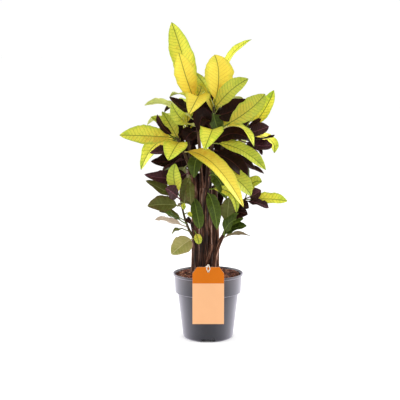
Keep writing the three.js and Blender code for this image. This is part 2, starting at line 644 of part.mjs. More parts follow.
// One strand: out of the knot behind the card, through its hole, up its face in half a teardrop,
// over its top edge, back to the front stem and half round that.
function strand(side) {
  const { radius, teardrop, loopZ, slack, sides, steps } = STRING;
  const [, root, middle, end, r0, r1] = STEMS.stem_front.wood[0];
  const t = (loopZ - root[2]) / (end[2] - root[2]);
  const { point: centre } = along(bow(vector(root), vector(middle), vector(end)), t);
  const round = r0 + (r1 - r0) * t + GAP + radius + slack;
  const places = WAY.map(({ aside, front, up }) => new THREE.Vector3(
    side * (aside ? aside * teardrop : radius + BETWEEN),
    CARD_BACK - front,
    HOLE_Z + up,
  ));
  for (let i = 0; i < LOOP.places; i++) {
    const angle = degrees(LOOP.from + ((LOOP.to - LOOP.from) * i) / (LOOP.places - 1));
    places.push(new THREE.Vector3(
      centre.x + side * round * Math.cos(angle),
      centre.y + round * Math.sin(angle),
      loopZ,
    ));
  }
  const curve = new THREE.CatmullRomCurve3(places, false, 'centripetal');
  const rings = [];
  for (let i = 0; i <= steps; i++) {
    const here = { point: curve.getPointAt(i / steps), direction: curve.getTangentAt(i / steps) };
    rings.push(circle(here, radius, sides, ACROSS_STRING));
  }
  return solidOf(loft(rings));
}

function stringSolid() {
  const knot = new THREE.SphereGeometry(KNOT.radius, KNOT.sides, KNOT.rings);
  knot.translate(0, CARD_BACK + GAP + KNOT.radius, HOLE_Z);
  return joined([strand(-1), strand(1), solidOf(knot)]);
}

// ---------------------------------------------------------------- the whole plant
const croton = new THREE.Group();

function place(name, solid, colour) {
  const mesh = new THREE.Mesh(geometryOf(solid), material(colour));
  mesh.name = name;
  croton.add(mesh);
}

place('pot', potSolid(), 'pot');
place('soil', soilSolid(), 'soil');
for (const [name, stem] of Object.entries(STEMS)) place(name, stemSolid(stem), 'stem');
place('tag', cardSolid(), 'card');
place('tag_string', stringSolid(), 'string');

export default croton;
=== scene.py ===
# %% [markdown]
# # A potted croton
#
# The real object is a young croton as a nursery sells it: a charcoal plastic pot, bark soil, a
# bundle of woody canes that carry leathery leaves from bright yellow to nearly black, and a blank
# card that hangs from a string. The solids of the part are already there, true in size, so this
# lesson only dresses them. Each piece below is made in place of one solid and keeps its form.

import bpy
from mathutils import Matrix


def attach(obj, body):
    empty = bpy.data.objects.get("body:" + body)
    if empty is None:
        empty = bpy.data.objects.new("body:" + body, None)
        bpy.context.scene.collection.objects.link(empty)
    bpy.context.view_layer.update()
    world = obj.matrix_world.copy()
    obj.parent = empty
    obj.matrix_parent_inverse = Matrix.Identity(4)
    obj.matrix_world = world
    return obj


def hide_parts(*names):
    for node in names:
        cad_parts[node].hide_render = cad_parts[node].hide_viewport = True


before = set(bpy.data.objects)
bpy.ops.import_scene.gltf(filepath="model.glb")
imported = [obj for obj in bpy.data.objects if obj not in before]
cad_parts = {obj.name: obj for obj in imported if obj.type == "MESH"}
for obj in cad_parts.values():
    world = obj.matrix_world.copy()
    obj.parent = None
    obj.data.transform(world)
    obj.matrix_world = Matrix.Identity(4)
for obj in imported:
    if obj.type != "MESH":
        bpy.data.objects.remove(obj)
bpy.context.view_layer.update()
print("solids:", sorted(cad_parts))

# %% [markdown]
# ## Units and helpers
#
# Sizes are written in millimetres, as a maker would say them, and Blender works in metres. Colours
# are picked as sRGB hex values, as on a colour chart, while a shader adds up light, so one function
# turns them linear. Every node below, in a material or in a geometry tree, is added by the same
# small function: it takes the node's own settings, then its sockets, each by a value or by a link.
# Two more start a material and end it.

# %% Units, colours and nodes
import math
from functools import partial

import bmesh
import bpy
from mathutils import Vector

MM = 0.001


def linear(code):
    """An sRGB hex colour as the linear red, green, blue and alpha that a shader wants."""
    parts = [int(code[i:i + 2], 16) / 255 for i in (1, 3, 5)]
    return [c / 12.92 if c <= 0.04045 else ((c + 0.055) / 1.055) ** 2.4 for c in parts] + [1.0]


def add(tree, kind, settings=None, sockets=()):
    """Adds a node: its settings, or just its operation, then its sockets by name or in their order."""
    node = tree.nodes.new(kind)
    if isinstance(settings, str):
        settings = {"operation": settings}
    for name, value in (settings or {}).items():
        if name != "stops":
            setattr(node, name, value)
            continue
        for number, (place, code) in enumerate(value.items()):  # a colour ramp's, as {place: colour}
            if number > 1:
                node.color_ramp.elements.new(place)
            node.color_ramp.elements[number].position = place
            node.color_ramp.elements[number].color = linear(code)
    for name, value in (sockets if isinstance(sockets, dict) else dict(enumerate(sockets))).items():
        named = [s for s in node.inputs if s.enabled and s.name == name]
        socket = named[0] if named else node.inputs[name]
        if isinstance(value, bpy.types.Node):
            value = next(out for out in value.outputs if out.enabled)
        if isinstance(value, bpy.types.NodeSocket):
            tree.links.new(value, socket)
        elif isinstance(value, str) and value.startswith("#"):
            socket.default_value = linear(value)
        else:
            socket.default_value = value
    return node


def new_finish(name):
    """An empty material, and the call that adds a node to it."""
    finish = bpy.data.materials.new(name)
    finish.use_nodes = True
    finish.node_tree.nodes.clear()
    return finish, partial(add, finish.node_tree)


def end_finish(put, coat):
    """Ends a finish with one coat of the given looks."""
    put(SURFACE, None, {"Surface": put(PRINCIPLED, None, coat)})


MATH = "ShaderNodeMath"
VECTOR = "ShaderNodeVectorMath"
MIX = "ShaderNodeMix"
RANGE = "ShaderNodeMapRange"  # its sockets in order: a value, from least and most, to least and most
NOISE = "ShaderNodeTexNoise"
RAMP = "ShaderNodeValToRGB"
SPLIT = "ShaderNodeSeparateXYZ"
COMBINE = "ShaderNodeCombineXYZ"
ATTRIBUTE = "ShaderNodeAttribute"
PLACE = "ShaderNodeTexCoord"
BUMP = "ShaderNodeBump"
PRINCIPLED = "ShaderNodeBsdfPrincipled"
SURFACE = "ShaderNodeOutputMaterial"
STORE = "GeometryNodeStoreNamedAttribute"
OWN = "GeometryNodeInputNamedAttribute"
RANDOM = "FunctionNodeRandomValue"
COPIES = "GeometryNodeInstanceOnPoints"
REAL = "GeometryNodeRealizeInstances"
MOVE = "GeometryNodeSetPosition"
SMOOTH = "GeometryNodeSetShadeSmooth"
SWEEP = "GeometryNodeCurveToMesh"
CIRCLE = "GeometryNodeCurvePrimitiveCircle"
BOOLEAN = "GeometryNodeMeshBoolean"

NUMBERS = {"data_type": "FLOAT"}
VECTORS = {"data_type": "FLOAT_VECTOR"}
COLOURS = {"data_type": "RGBA"}
EASED = {"interpolation_type": "SMOOTHSTEP"}
UNLIKE = {"noise_dimensions": "4D"}  # the fourth sets one leaf or cane apart from the next

print("a millimetre is", MM, "m, and mid grey is", round(linear("#808080")[0], 3))

# %% [markdown]
# ## The camera
#
# The camera comes first, because some of the leaves below are placed as they are seen from the
# front. It stands 3 m in front of the pot, at the height of the crown, and looks a little down. At
# that distance the plant keeps its true proportions, with hardly any perspective.

# %% Camera
EYE = Vector((-19.6, -3000, 750))
LOOK_DOWN = 7.82
PICTURE = 400
FOCAL = 1252  # both in pixels of the picture

lens = bpy.data.cameras.new("camera")
lens.angle = 2 * math.atan(PICTURE / 2 / FOCAL)
camera = bpy.data.objects.new("camera", lens)
camera.location = EYE * MM
camera.rotation_euler = (math.radians(90 - LOOK_DOWN), 0, 0)
bpy.context.scene.collection.objects.link(camera)
bpy.context.scene.camera = camera
print("field of view:", round(math.degrees(lens.angle), 2), "degrees")

# %% [markdown]
# ## Where the canes and the leaves are
#
# A croton grows in whorls: each cane ends in a rosette, and the leaves below it are older and
# darker. The table holds one stem after the other. Its woods are listed by their root, middle and
# end with the radius at both ends. A leaf that shows from the front is listed by the wood that
# carries it and how far up that wood, where its middle and its tip are seen (across, up and how far
# back), its width, the way its upper side faces, its kind, and its stalk's length where that isn't
# the usual one. A leaf at the back has the same first two, then the way round and its rise in
# degrees, its length and its kind.

# %% The stems
STEMS = {
    "stem_left": {
        "wood": [
            ("cane", (-39, 4, 85), (-34, 4, 270), (-44, 2, 411), 7, 5),
            ("tip", (-44, 2, 411), (-58, -4, 455), (-77, -10, 492), 4.3, 3),
        ],
        "leaves": [
            ("tip", 0.96, (-143, 493, -24), (-213, 495, -34), 52, (0, -0.85, 0.5), "young", 18),
            ("tip", 0.92, (-102, 517, 6), (-138, 539, 8), 34, (0.5, -0.7, 0.5), "lime"),
            ("tip", 0.9, (-87, 512, -20), (-111, 552, -26), 34, (0.3, -0.9, 0.3), "lime"),
            ("tip", 0.99, (-107, 514, -44), (-122, 545, -56), 18, (-0.5, -0.8, 0.4), "dark"),
            ("tip", 0.8, (-78, 467, -58), (-96, 434, -96), 58, (0, -0.7, 0.9), "young"),
            ("tip", 0.85, (-124, 474, 10), (-162, 411, 6), 42, (-0.35, -0.85, 0.4), "young"),
            ("tip", 0.7, (-97, 457, -30), (-141, 452, -48), 40, (-0.1, -0.6, 0.8), "maroon"),
            ("tip", 0.5, (-92, 433, -8), (-138, 432, -16), 40, (0, -0.8, 0.6), "dark"),
            ("tip", 0.3, (-83, 426, -34), (-116, 403, -52), 32, (-0.5, 0.1, 0.85), "dark"),
            ("cane", 0.98, (-92, 391, -28), (-154, 400, -42), 40, (0.1, -0.8, 0.6), "maroon"),
            ("tip", 0.15, (-67, 400, 26), (-76, 362, 30), 38, (0, -1, 0.1), "olive"),
            ("tip", 0.8, (-65, 440, 20), (-62, 398, 16), 34, (0, -1, 0.1), "dark"),
            ("cane", 0.96, (-53, 370, -22), (-58, 326, -26), 30, (-0.2, -1, 0.2), "olive"),
            ("cane", 0.94, (-44, 362, -30), (-41, 328, -36), 26, (0.1, -1, 0.2), "olive"),
            ("cane", 0.8, (-27, 306, -34), (-20, 267, -38), 31, (0.1, -1, 0.2), "green"),
            ("tip", 0.5, (12, 426, -78), (86, 320, -96), 54, (0.3, -0.7, 0.8), "golden"),
        ],
        "back": [
            ("tip", 0.6, 152, 22, 116, "lime"),
            ("tip", 0.78, 122, 44, 104, "dark"),
            ("tip", 0.4, 138, 2, 118, "olive"),
        ],
    },
    "stem_low_left": {
        "wood": [
            ("cane", (-29, -21, 85), (-29, -22, 210), (-38, -27, 288), 6.5, 6),
            ("twig", (-33, -24, 249), (-53, -38, 290), (-67, -34, 352), 3.4, 2.2),
        ],
        "leaves": [
            ("twig", 0.98, (-82, 386, -48), (-79, 427, -56), 36, (0, -1, 0.1), "lime"),
            ("twig", 0.95, (-109, 362, -40), (-151, 385, -46), 38, (0.1, -0.6, 0.8), "olive"),
            ("twig", 0.93, (-85, 355, -60), (-103, 366, -76), 36, (0, -0.9, 0.4), "maroon"),
            ("twig", 0.82, (-104, 327, -38), (-147, 323, -48), 44, (0, -0.85, 0.5), "olive"),
            ("twig", 0.52, (-90, 304, -42), (-118, 309, -52), 32, (0.1, -0.5, 0.85), "olive"),
            ("twig", 0.45, (-83, 296, -66), (-104, 306, -82), 26, (0, -0.5, 0.85), "green"),
            ("twig", 0.36, (-95, 286, -34), (-129, 290, -36), 28, (0, 0.6, 0.8), "sage"),
            ("twig", 0.22, (-70, 267, -50), (-88, 254, -58), 11, (0, -0.5, 0.85), "olive"),
            ("cane", 0.72, (-60, 229, -46), (-89, 204, -62), 48, (0, -0.9, 0.4), "sage"),
            ("cane", 0.86, (-26, 247, -44), (-22, 229, -50), 20, (0.1, -1, 0.3), "lime"),
            ("twig", 0.9, (-61, 328, -50), (-58, 314, -58), 12, (0.1, -1, 0.3), "lime"),
            ("twig", 0.66, (-49, 306, -48), (-41, 296, -54), 12, (0.1, -1, 0.4), "lime"),
            ("twig", 0.5, (-51, 292, -50), (-41, 279, -56), 14, (0.1, -1, 0.4), "dark"),
        ],
        "back": [],
    },
    "stem_front": {
        "wood": [
            ("cane", (-10, -14, 85), (-9, -15, 270), (-3, -14, 369), 9.5, 7),
            ("tip", (-3, -14, 369), (2, -16, 437), (9, -18, 504), 6.3, 4),
            ("stub", (-6, -15, 180), (4, -21, 205), (7, -22, 233), 5, 5),
        ],
        "leaves": [
            ("tip", 0.97, (9, 505, -64), (-9, 460, -108), 58, (0, -0.7, 0.9), "young"),
            ("tip", 0.93, (70, 516, -52), (110, 468, -72), 36, (0.3, -0.25, 0.9), "young", 30),
            ("tip", 0.99, (89, 548, -40), (136, 594, -50), 54, (-0.1, -0.9, 0.5), "lime", 38),
            ("tip", 0.8, (75, 461, -50), (139, 411, -76), 46, (0.1, -0.6, 0.8), "lime", 24),
            ("tip", 0.3, (61, 392, -50), (104, 348, -62), 54, (0.3, -0.8, 0.6), "lime"),
            ("cane", 0.97, (53, 355, -46), (68, 306, -56), 24, (0.2, -1, 0.3), "lime"),
            ("tip", 0.62, (55, 433, -32), (94, 389, -38), 48, (0.2, -0.8, 0.6), "dark"),
            ("tip", 0.7, (68, 440, -13), (113, 411, -12), 32, (0.1, -0.6, 0.8), "dark"),
            ("cane", 0.93, (12, 326, -38), (22, 265, -40), 33, (0.2, -1, 0.2), "green"),
            ("tip", 1, (-12, 539, -40), (-22, 503, -64), 46, (0, -1, 0.3), "dark"),
            ("tip", 0.75, (52, 498, -24), (98, 486, -32), 44, (0.1, -0.8, 0.6), "dark"),
            ("tip", 0.2, (22, 392, -30), (44, 340, -36), 40, (0.2, -1, 0.2), "green"),
        ],
        "back": [],
    },
    "stem_top_left": {
        "wood": [
            ("cane", (-16, 12, 85), (-15, 11, 270), (-15, 8, 366), 8, 5.5),
            ("tip", (-15, 8, 366), (-22, 4, 483), (-34, 0, 584), 4.8, 3),
        ],
        "leaves": [
            ("tip", 0.99, (-58, 675, 12), (-87, 764, 10), 60, (-0.2, -1, 0.1), "young", 20),
            ("tip", 0.96, (-53, 634, -24), (-70, 692, -36), 54, (0, -1, 0.2), "golden"),
            ("tip", 0.93, (-24, 587, -52), (-46, 545, -98), 60, (0, -0.8, 0.8), "golden"),
            ("tip", 0.98, (-17, 613, 6), (-32, 646, 8), 26, (0.3, -0.9, 0.2), "lime"),
            ("tip", 0.84, (-58, 560, -28), (-93, 587, -40), 36, (0.2, -0.7, 0.8), "dark"),
            ("tip", 0.66, (-60, 530, -34), (-88, 573, -52), 40, (-0.5, -0.6, 0.7), "lime"),
            ("tip", 0.7, (-97, 568, 24), (-153, 566, 18), 34, (-0.1, 0.55, 0.8), "lime"),
            ("tip", 0.6, (-42, 500, -20), (-56, 482, -22), 40, (0, -0.9, 0.4), "dark"),
            ("tip", 0.3, (-30, 432, -20), (-34, 392, -24), 36, (-0.1, -1, 0.2), "green"),
        ],
        "back": [
            ("tip", 0.93, 118, 46, 112, "young"),
            ("tip", 0.88, 90, 24, 122, "young"),
            ("tip", 0.84, 138, 24, 100, "lime"),
            ("tip", 0.8, 106, 24, 114, "lime"),
            ("tip", 0.75, 140, 10, 112, "dark"),
        ],
    },
    "stem_top_right": {
        "wood": [
            ("cane", (6, 16, 85), (4, 17, 270), (4, 17, 365), 7.5, 5.5),
            ("tip", (4, 17, 365), (10, 14, 470), (14, 8, 567), 4.8, 3),
        ],
        "leaves": [
            ("tip", 0.99, (25, 634, 4), (15, 687, 28), 72, (0.1, -1, 0.15), "golden"),
            ("tip", 0.98, (43, 666, 46), (103, 723, 52), 34, (-0.5, -0.5, 0.7), "young"),
            ("tip", 0.97, (-3, 606, -30), (-26, 637, -46), 30, (-0.6, -0.6, 0.5), "lime"),
            ("tip", 0.96, (7, 599, 6), (0, 625, 10), 14, (0, -1, 0.2), "dark"),
            ("tip", 0.93, (51, 599, -26), (96, 630, -38), 46, (0.1, -0.9, 0.6), "lime"),
            ("tip", 0.88, (53, 551, -8), (92, 582, -12), 56, (0.1, -0.9, 0.5), "dark"),
            ("tip", 0.9, (16, 531, -4), (28, 498, -2), 38, (0.25, -0.9, 0.2), "green", 8),
            ("tip", 0.7, (-6, 530, 36), (-12, 586, 38), 44, (0, -1, 0.1), "dark"),
        ],
        "back": [
            ("tip", 0.92, 74, 20, 116, "young"),
            ("tip", 0.84, 116, 36, 116, "young"),
            ("tip", 0.86, 30, 20, 112, "lime"),
            ("tip", 0.81, 94, 20, 120, "dark"),
            ("tip", 0.76, 48, 14, 112, "dark"),
        ],
    },
    "stem_right": {
        "wood": [
            ("cane", (20, -2, 85), (21, 2, 270), (16, 8, 366), 6.5, 5),
            ("tip", (16, 8, 366), (48, 6, 435), (89, 0, 503), 3.9, 2.8),
        ],
        "leaves": [
            ("tip", 0.99, (130, 548, 8), (157, 603, 4), 38, (-0.4, -0.9, 0.2), "young", 26),
            ("tip", 0.95, (145, 486, 34), (159, 452, 40), 28, (0.2, -0.8, 0.5), "young"),
            ("tip", 0.97, (82, 522, -12), (77, 540, -10), 34, (0, -1, 0.3), "maroon"),
            ("tip", 0.98, (109, 522, -14), (127, 534, -18), 14, (0, -1, 0.3), "dark"),
            ("tip", 0.96, (116, 505, -36), (146, 516, -52), 40, (0.1, -0.85, 0.5), "maroon"),
            ("tip", 0.9, (130, 486, -28), (160, 496, -36), 16, (0.1, -0.4, 0.9), "dark"),
            ("tip", 0.85, (126, 469, -38), (154, 474, -52), 36, (0.1, -0.8, 0.6), "maroon"),
            ("tip", 0.8, (113, 464, -18), (130, 447, -24), 14, (0.1, -0.6, 0.8), "dark"),
            ("tip", 0.3, (88, 418, 14), (135, 402, 12), 26, (0.1, -0.4, 0.9), "dark"),
        ],
        "back": [
            ("tip", 0.93, 52, 34, 106, "lime"),
            ("tip", 0.8, 62, 16, 120, "dark"),
            ("tip", 0.5, 34, -4, 112, "olive"),
        ],
    },
    "stem_low_right": {
        "wood": [
            ("cane", (14, -22, 85), (16, -21, 190), (36, -16, 252), 6, 5),
            ("tip", (36, -16, 252), (57, -16, 296), (91, -16, 345), 4.3, 2.6),
        ],
        "leaves": [
            ("tip", 0.98, (106, 377, -26), (130, 382, -36), 34, (-0.4, -0.7, 0.4), "lime"),
            ("tip", 0.99, (108, 349, -24), (128, 362, -32), 36, (0, -0.9, 0.5), "maroon"),
            ("tip", 0.96, (143, 340, -30), (192, 335, -38), 38, (0.1, -0.7, 0.7), "young"),
            ("tip", 0.93, (118, 331, -46), (147, 318, -58), 28, (0.1, -0.6, 0.8), "maroon"),
            ("tip", 0.6, (75, 323, -34), (99, 318, -42), 34, (0, -0.8, 0.6), "dark"),
            ("tip", 0.4, (68, 305, -34), (96, 302, -44), 38, (0, -0.9, 0.5), "dark"),
            ("tip", 0.25, (48, 313, -32), (52, 345, -37), 38, (0, -1, 0.2), "olive"),
            ("cane", 0.99, (54, 282, -37), (86, 292, -48), 42, (0, -0.7, 0.7), "green"),
            ("cane", 0.97, (60, 267, -30), (94, 274, -40), 34, (0.1, -0.6, 0.8), "green"),
            ("cane", 0.93, (65, 253, -28), (103, 250, -34), 26, (0, 0.45, 0.9), "olive"),
        ],
        "back": [],
    },
    "stem_back_left": {
        "wood": [
            ("cane", (-30, 26, 85), (-28, 29, 270), (-36, 33, 400), 6.5, 5),
            ("tip", (-36, 33, 400), (-46, 40, 460), (-50, 50, 510), 4.3, 3),
        ],
        "leaves": [
            ("cane", 0.97, (-27, 388, 54), (-20, 328, 52), 42, (0, -1, 0.1), "dark"),
            ("tip", 0.5, (-33, 498, 60), (-31, 564, 66), 46, (0, -1, 0), "dark"),
            ("tip", 0.9, (-44, 454, 62), (-44, 410, 56), 40, (0, -1, 0.1), "dark"),
            ("tip", 0.97, (-66, 498, 36), (-92, 476, 28), 38, (0, -1, 0.1), "dark"),
        ],
        "back": [
            ("tip", 0.98, 92, 36, 128, "young"),
            ("tip", 0.9, 146, 8, 132, "lime"),
            ("tip", 0.8, 74, 14, 140, "young"),
            ("tip", 0.66, 110, -2, 146, "lime"),
            ("tip", 0.5, 158, 4, 112, "dark"),
            ("tip", 0.3, 84, -14, 134, "dark"),
            ("tip", 0.1, 130, -18, 124, "green"),
            ("cane", 0.94, 100, -8, 118, "olive"),
            ("cane", 0.84, 152, -4, 100, "olive"),
            ("cane", 0.74, 112, 10, 92, "green"),
            ("cane", 0.6, 138, 16, 70, "olive"),
        ],
    },
    "stem_back_right": {
        "wood": [
            ("cane", (12, 38, 85), (14, 37, 270), (24, 39, 400), 6.5, 5),
            ("tip", (24, 39, 400), (34, 45, 455), (38, 54, 505), 4.3, 3),
        ],
        "leaves": [
            ("tip", 0.35, (-2, 434, 68), (0, 374, 70), 44, (0, -1, 0.1), "dark"),
            ("tip", 0.7, (15, 484, 66), (4, 534, 74), 50, (0, -1, 0), "dark"),
            ("tip", 0.93, (34, 454, 66), (44, 402, 62), 44, (0, -1, 0.1), "dark"),
            ("cane", 0.9, (18, 356, 62), (22, 306, 60), 42, (0, -1, 0.1), "dark"),
        ],
        "back": [
            ("tip", 0.98, 98, 32, 124, "young"),
            ("tip", 0.9, 36, 6, 128, "lime"),
            ("tip", 0.8, 104, 12, 142, "young"),
            ("tip", 0.64, 66, -4, 148, "lime"),
            ("tip", 0.5, 22, 6, 104, "dark"),
            ("tip", 0.3, 90, -14, 132, "dark"),
            ("tip", 0.12, 48, -18, 126, "green"),
            ("cane", 0.94, 80, -10, 120, "olive"),
            ("cane", 0.84, 28, -2, 98, "olive"),
            ("cane", 0.72, 64, 12, 88, "green"),
            ("cane", 0.58, 40, 16, 66, "olive"),
        ],
    },
}
print(len(STEMS), "stems and", sum(len(s["leaves"] + s["back"]) for s in STEMS.values()), "leaves")

# %% [markdown]
# ## From the table to places
#
# Woods and leaves both bend evenly, so each follows the simplest curve there is: one that starts at
# a, ends at b and passes through m halfway. Its control point lies as far beyond m as m lies beyond
# the middle of a and b. A leaf's place is turned from what the eye sees into a true one along the
# line of sight.

# %% Curves and leaf places
# Shares of the leaf's length, but for the arch in degrees and how far the tip hangs in mm.
BACK_LEAF = {"slender": 0.36, "arch": 22, "reach": 0.94, "hang": 8, "lean": 0.4}
STALK = 14  # mm, the usual length


def seen(across, up, depth):
    """The true place of what the eye sees at (across, up) on the upright plane through the pot."""
    return EYE.lerp(Vector((across, 0, up)), (depth - EYE.y) / -EYE.y)


def control(a, m, b):
    """The control point of the curve that starts at a, passes m and ends at b."""
    return 2 * m - (a + b) / 2


def on_wood(stem, name, t):
    """The point at t, from 0 at the root to 1 at the end, on one wood of a stem."""
    a, m, b = next([Vector(p) for p in wood[1:4]] for wood in stem["wood"] if wood[0] == name)
    return a.lerp(control(a, m, b), t).lerp(control(a, m, b).lerp(b, t), t)


def leaf_places(stem):
    """Every leaf of a stem as (base, middle, tip, width, face, kind, stalk)."""
    for name, t, middle, tip, width, face, kind, *stalk in stem["leaves"]:
        base = on_wood(stem, name, t)
        yield base, seen(*middle), seen(*tip), width, Vector(face), kind, (stalk or [STALK])[0]
    for name, t, around, rise, length, kind in stem["back"]:
        base = on_wood(stem, name, t)
        out = Vector((math.cos(math.radians(around)), math.sin(math.radians(around)), 0))
        high = math.radians(rise + BACK_LEAF["arch"])
        low = math.radians(rise)
        middle = base + length / 2 * (out * math.cos(high) + Vector((0, 0, math.sin(high))))
        tip = base + BACK_LEAF["reach"] * length * (out * math.cos(low) + Vector((0, 0, math.sin(low))))
        tip.z -= BACK_LEAF["hang"]
        face = Vector((0, 0, 1)) - BACK_LEAF["lean"] * out
        yield base, middle, tip, BACK_LEAF["slender"] * length, face, kind, STALK


longest = max((b - m).length + (t - m).length for s in STEMS.values() for b, m, t, *_ in leaf_places(s))
print("the longest leaf is", round(longest), "mm")

# %% [markdown]
# ## Trees that make geometry
#
# A geometry tree is a recipe: named inputs on the left, a mesh on the right. It is put on an object
# as a modifier, its inputs are set, and the result is taken off as one plain mesh. That keeps the
# recipe readable and the finished piece light.

# %% Starting a geometry tree and taking its result
SOCKETS = {int: "NodeSocketInt", float: "NodeSocketFloat", str: "NodeSocketMaterial"}
SOCKETS[type(None)] = "NodeSocketObject"


def new_tree(name, inputs):
    """An empty geometry tree, the call that adds a node to it, and its named inputs."""
    tree = bpy.data.node_groups.new(name, "GeometryNodeTree")
    tree.is_modifier = True
    tree.interface.new_socket("Geometry", in_out="INPUT", socket_type="NodeSocketGeometry")
    tree.interface.new_socket("Geometry", in_out="OUTPUT", socket_type="NodeSocketGeometry")
    for title, value in inputs.items():
        socket = tree.interface.new_socket(title, in_out="INPUT", socket_type=SOCKETS[type(value)])
        if type(value) in (int, float):
            socket.default_value = value
    return tree, partial(add, tree), add(tree, "NodeGroupInput").outputs


def end_tree(put, form, material):
    """Ends a tree: its form as real geometry, in its finish."""
    form = put("GeometryNodeSetMaterial", None, {"Geometry": put(REAL, None, [form]), "Material": material})
    put("NodeGroupOutput", None, [form])


def scratch(data):
    """An object that only feeds a recipe and never shows."""
    holder = bpy.data.objects.new("recipe source", data)
    bpy.context.scene.collection.objects.link(holder)
    return holder


def made_by(tree, data, inputs):
    """Runs a geometry tree on bare data and gives the result as a plain mesh."""
    source = scratch(data)
    modifier = source.modifiers.new("recipe", "NODES")
    modifier.node_group = tree
    identifiers = {item.name: item.identifier for item in tree.interface.items_tree if item.in_out == "INPUT"}
    for title, value in inputs.items():
        modifier[identifiers[title]] = value
    evaluated = source.evaluated_get(bpy.context.evaluated_depsgraph_get())
    mesh = bpy.data.meshes.new_from_object(evaluated)
    source.modifiers.remove(modifier)
    bpy.data.objects.remove(source)
    return mesh


def piece(name, mesh, slot, *replaced):
    """Shows a finished mesh as a piece that stands for solids of the part."""
    shown = bpy.data.objects.new(name, mesh)
    mesh.name = name
    bpy.context.scene.collection.objects.link(shown)
    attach(shown, "root")
    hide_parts(*replaced)
    faces = sum(len(p.vertices) - 2 for p in mesh.polygons)
    print(f"{name}: {faces} triangles")
    return shown


print("a recipe's inputs can be:", sorted(SOCKETS.values()))

# %% [markdown]
# ## The leaves' finish
#
# A croton leaf is thick, leathery and waxy. It is painted by the plant itself: young leaves are
# yellow with lime margins, older ones turn olive, green and at last nearly black, with a midrib and
# side veins of another colour, and a paler or a pinkish underside. Each blade carries its own
# measure in millimetres, across from the midrib and along from the wood, so the veins are drawn
# where they grow: they leave the midrib every few millimetres and curve towards the tip, with a fine
# net between them. All kinds share one recipe and differ in their paints. Some light passes through
# a blade, the more the younger it is, so a part of the finish is translucent.

# %% Leaf paints
PAINTS = {
    "golden": {
        "skin": {0.0: "#ecc638", 0.25: "#fbe750", 0.7: "#fdf05a", 1.0: "#e2e84e"}, "margin": "#d8d844",
        "vein": "#dcbc34", "midrib": "#8f8a26", "under": "#f6e59c", "veined": 0.5, "sheer": 0.24,
        "shine": 0.45,
    },
    "young": {
        "skin": {0.0: "#eecb3c", 0.28: "#fdf455", 0.58: "#f1f050", 0.85: "#bcd83a", 1.0: "#96bb2c"},
        "margin": "#c4d63e", "vein": "#a9b82c", "midrib": "#7f8a1e", "under": "#f2f0a4", "veined": 0.62,
        "sheer": 0.24, "shine": 0.45,
    },
    "lime": {
        "skin": {0.0: "#e4d040", 0.3: "#dcdb4a", 0.6: "#c6ce3e", 0.85: "#a4b934", 1.0: "#7f9c2c"},
        "margin": "#c6d044", "vein": "#7f9828", "midrib": "#6f7e20", "under": "#dfe28e", "veined": 0.6,
        "sheer": 0.2, "shine": 0.45,
    },
    "sage": {
        "skin": {0.0: "#a89c62", 0.5: "#949145", 1.0: "#7f873a"}, "margin": "#a5965c", "vein": "#b8b272",
        "midrib": "#c4bb7e", "under": "#bfa89c", "veined": 0.4, "sheer": 0.14, "shine": 0.4,
    },
    "olive": {
        "skin": {0.0: "#62672c", 0.4: "#555a22", 0.7: "#584b24", 1.0: "#65422c"}, "margin": "#5c4826",
        "vein": "#74783a", "midrib": "#84884c", "under": "#7d6b55", "veined": 0.4, "sheer": 0.1,
        "shine": 0.25,
    },
    "green": {
        "skin": {0.0: "#415018", 0.4: "#33420c", 0.75: "#455414", 1.0: "#5a6a1c"}, "margin": "#4f6018",
        "vein": "#586c24", "midrib": "#6c8032", "under": "#667048", "veined": 0.4, "sheer": 0.1,
        "shine": 0.22,
    },
    "dark": {
        "skin": {0.0: "#100603", 0.4: "#1a0c05", 0.7: "#220c07", 1.0: "#2f110c"}, "margin": "#2a0e0a",
        "vein": "#2d1610", "midrib": "#41211c", "under": "#3a2020", "veined": 0.5, "sheer": 0.06,
        "shine": 0.1,
    },
    "maroon": {
        "skin": {0.0: "#1e0c0a", 0.4: "#2b1114", 0.75: "#3f1b23", 1.0: "#522934"}, "margin": "#331517",
        "vein": "#4e2830", "midrib": "#683b46", "under": "#6b4149", "veined": 0.5, "sheer": 0.1,
        "shine": 0.25,
    },
}
VEIN = {"apart": 8.6, "lean": 0.42, "curve": 0.006}  # mm, then how it runs forward and bends on its way out
VEIN["width"] = 0.16  # half of it, as a share of the space between two veins
MIDRIB = 1.5  # half its width, in mm
BLOTCH = 14  # how far apart the patches of colour are, in mm
NET = 2.4  # how wide the cells of the finest veins are, in mm
UNDERSIDE = 0.75  # how much of the underside's colour covers the skin there
SET_APART = {"paint": 90.0, "ripple": 50.0, "bark": 70.0}  # how far apart lots 0 and 1 lie in a noise
DRIFT = {"length": 0.72, "patches": 1.1, "halves": 0.5, "leaves": 0.24}  # what the skin's tone depends on
print("leaf paints:", sorted(PAINTS))


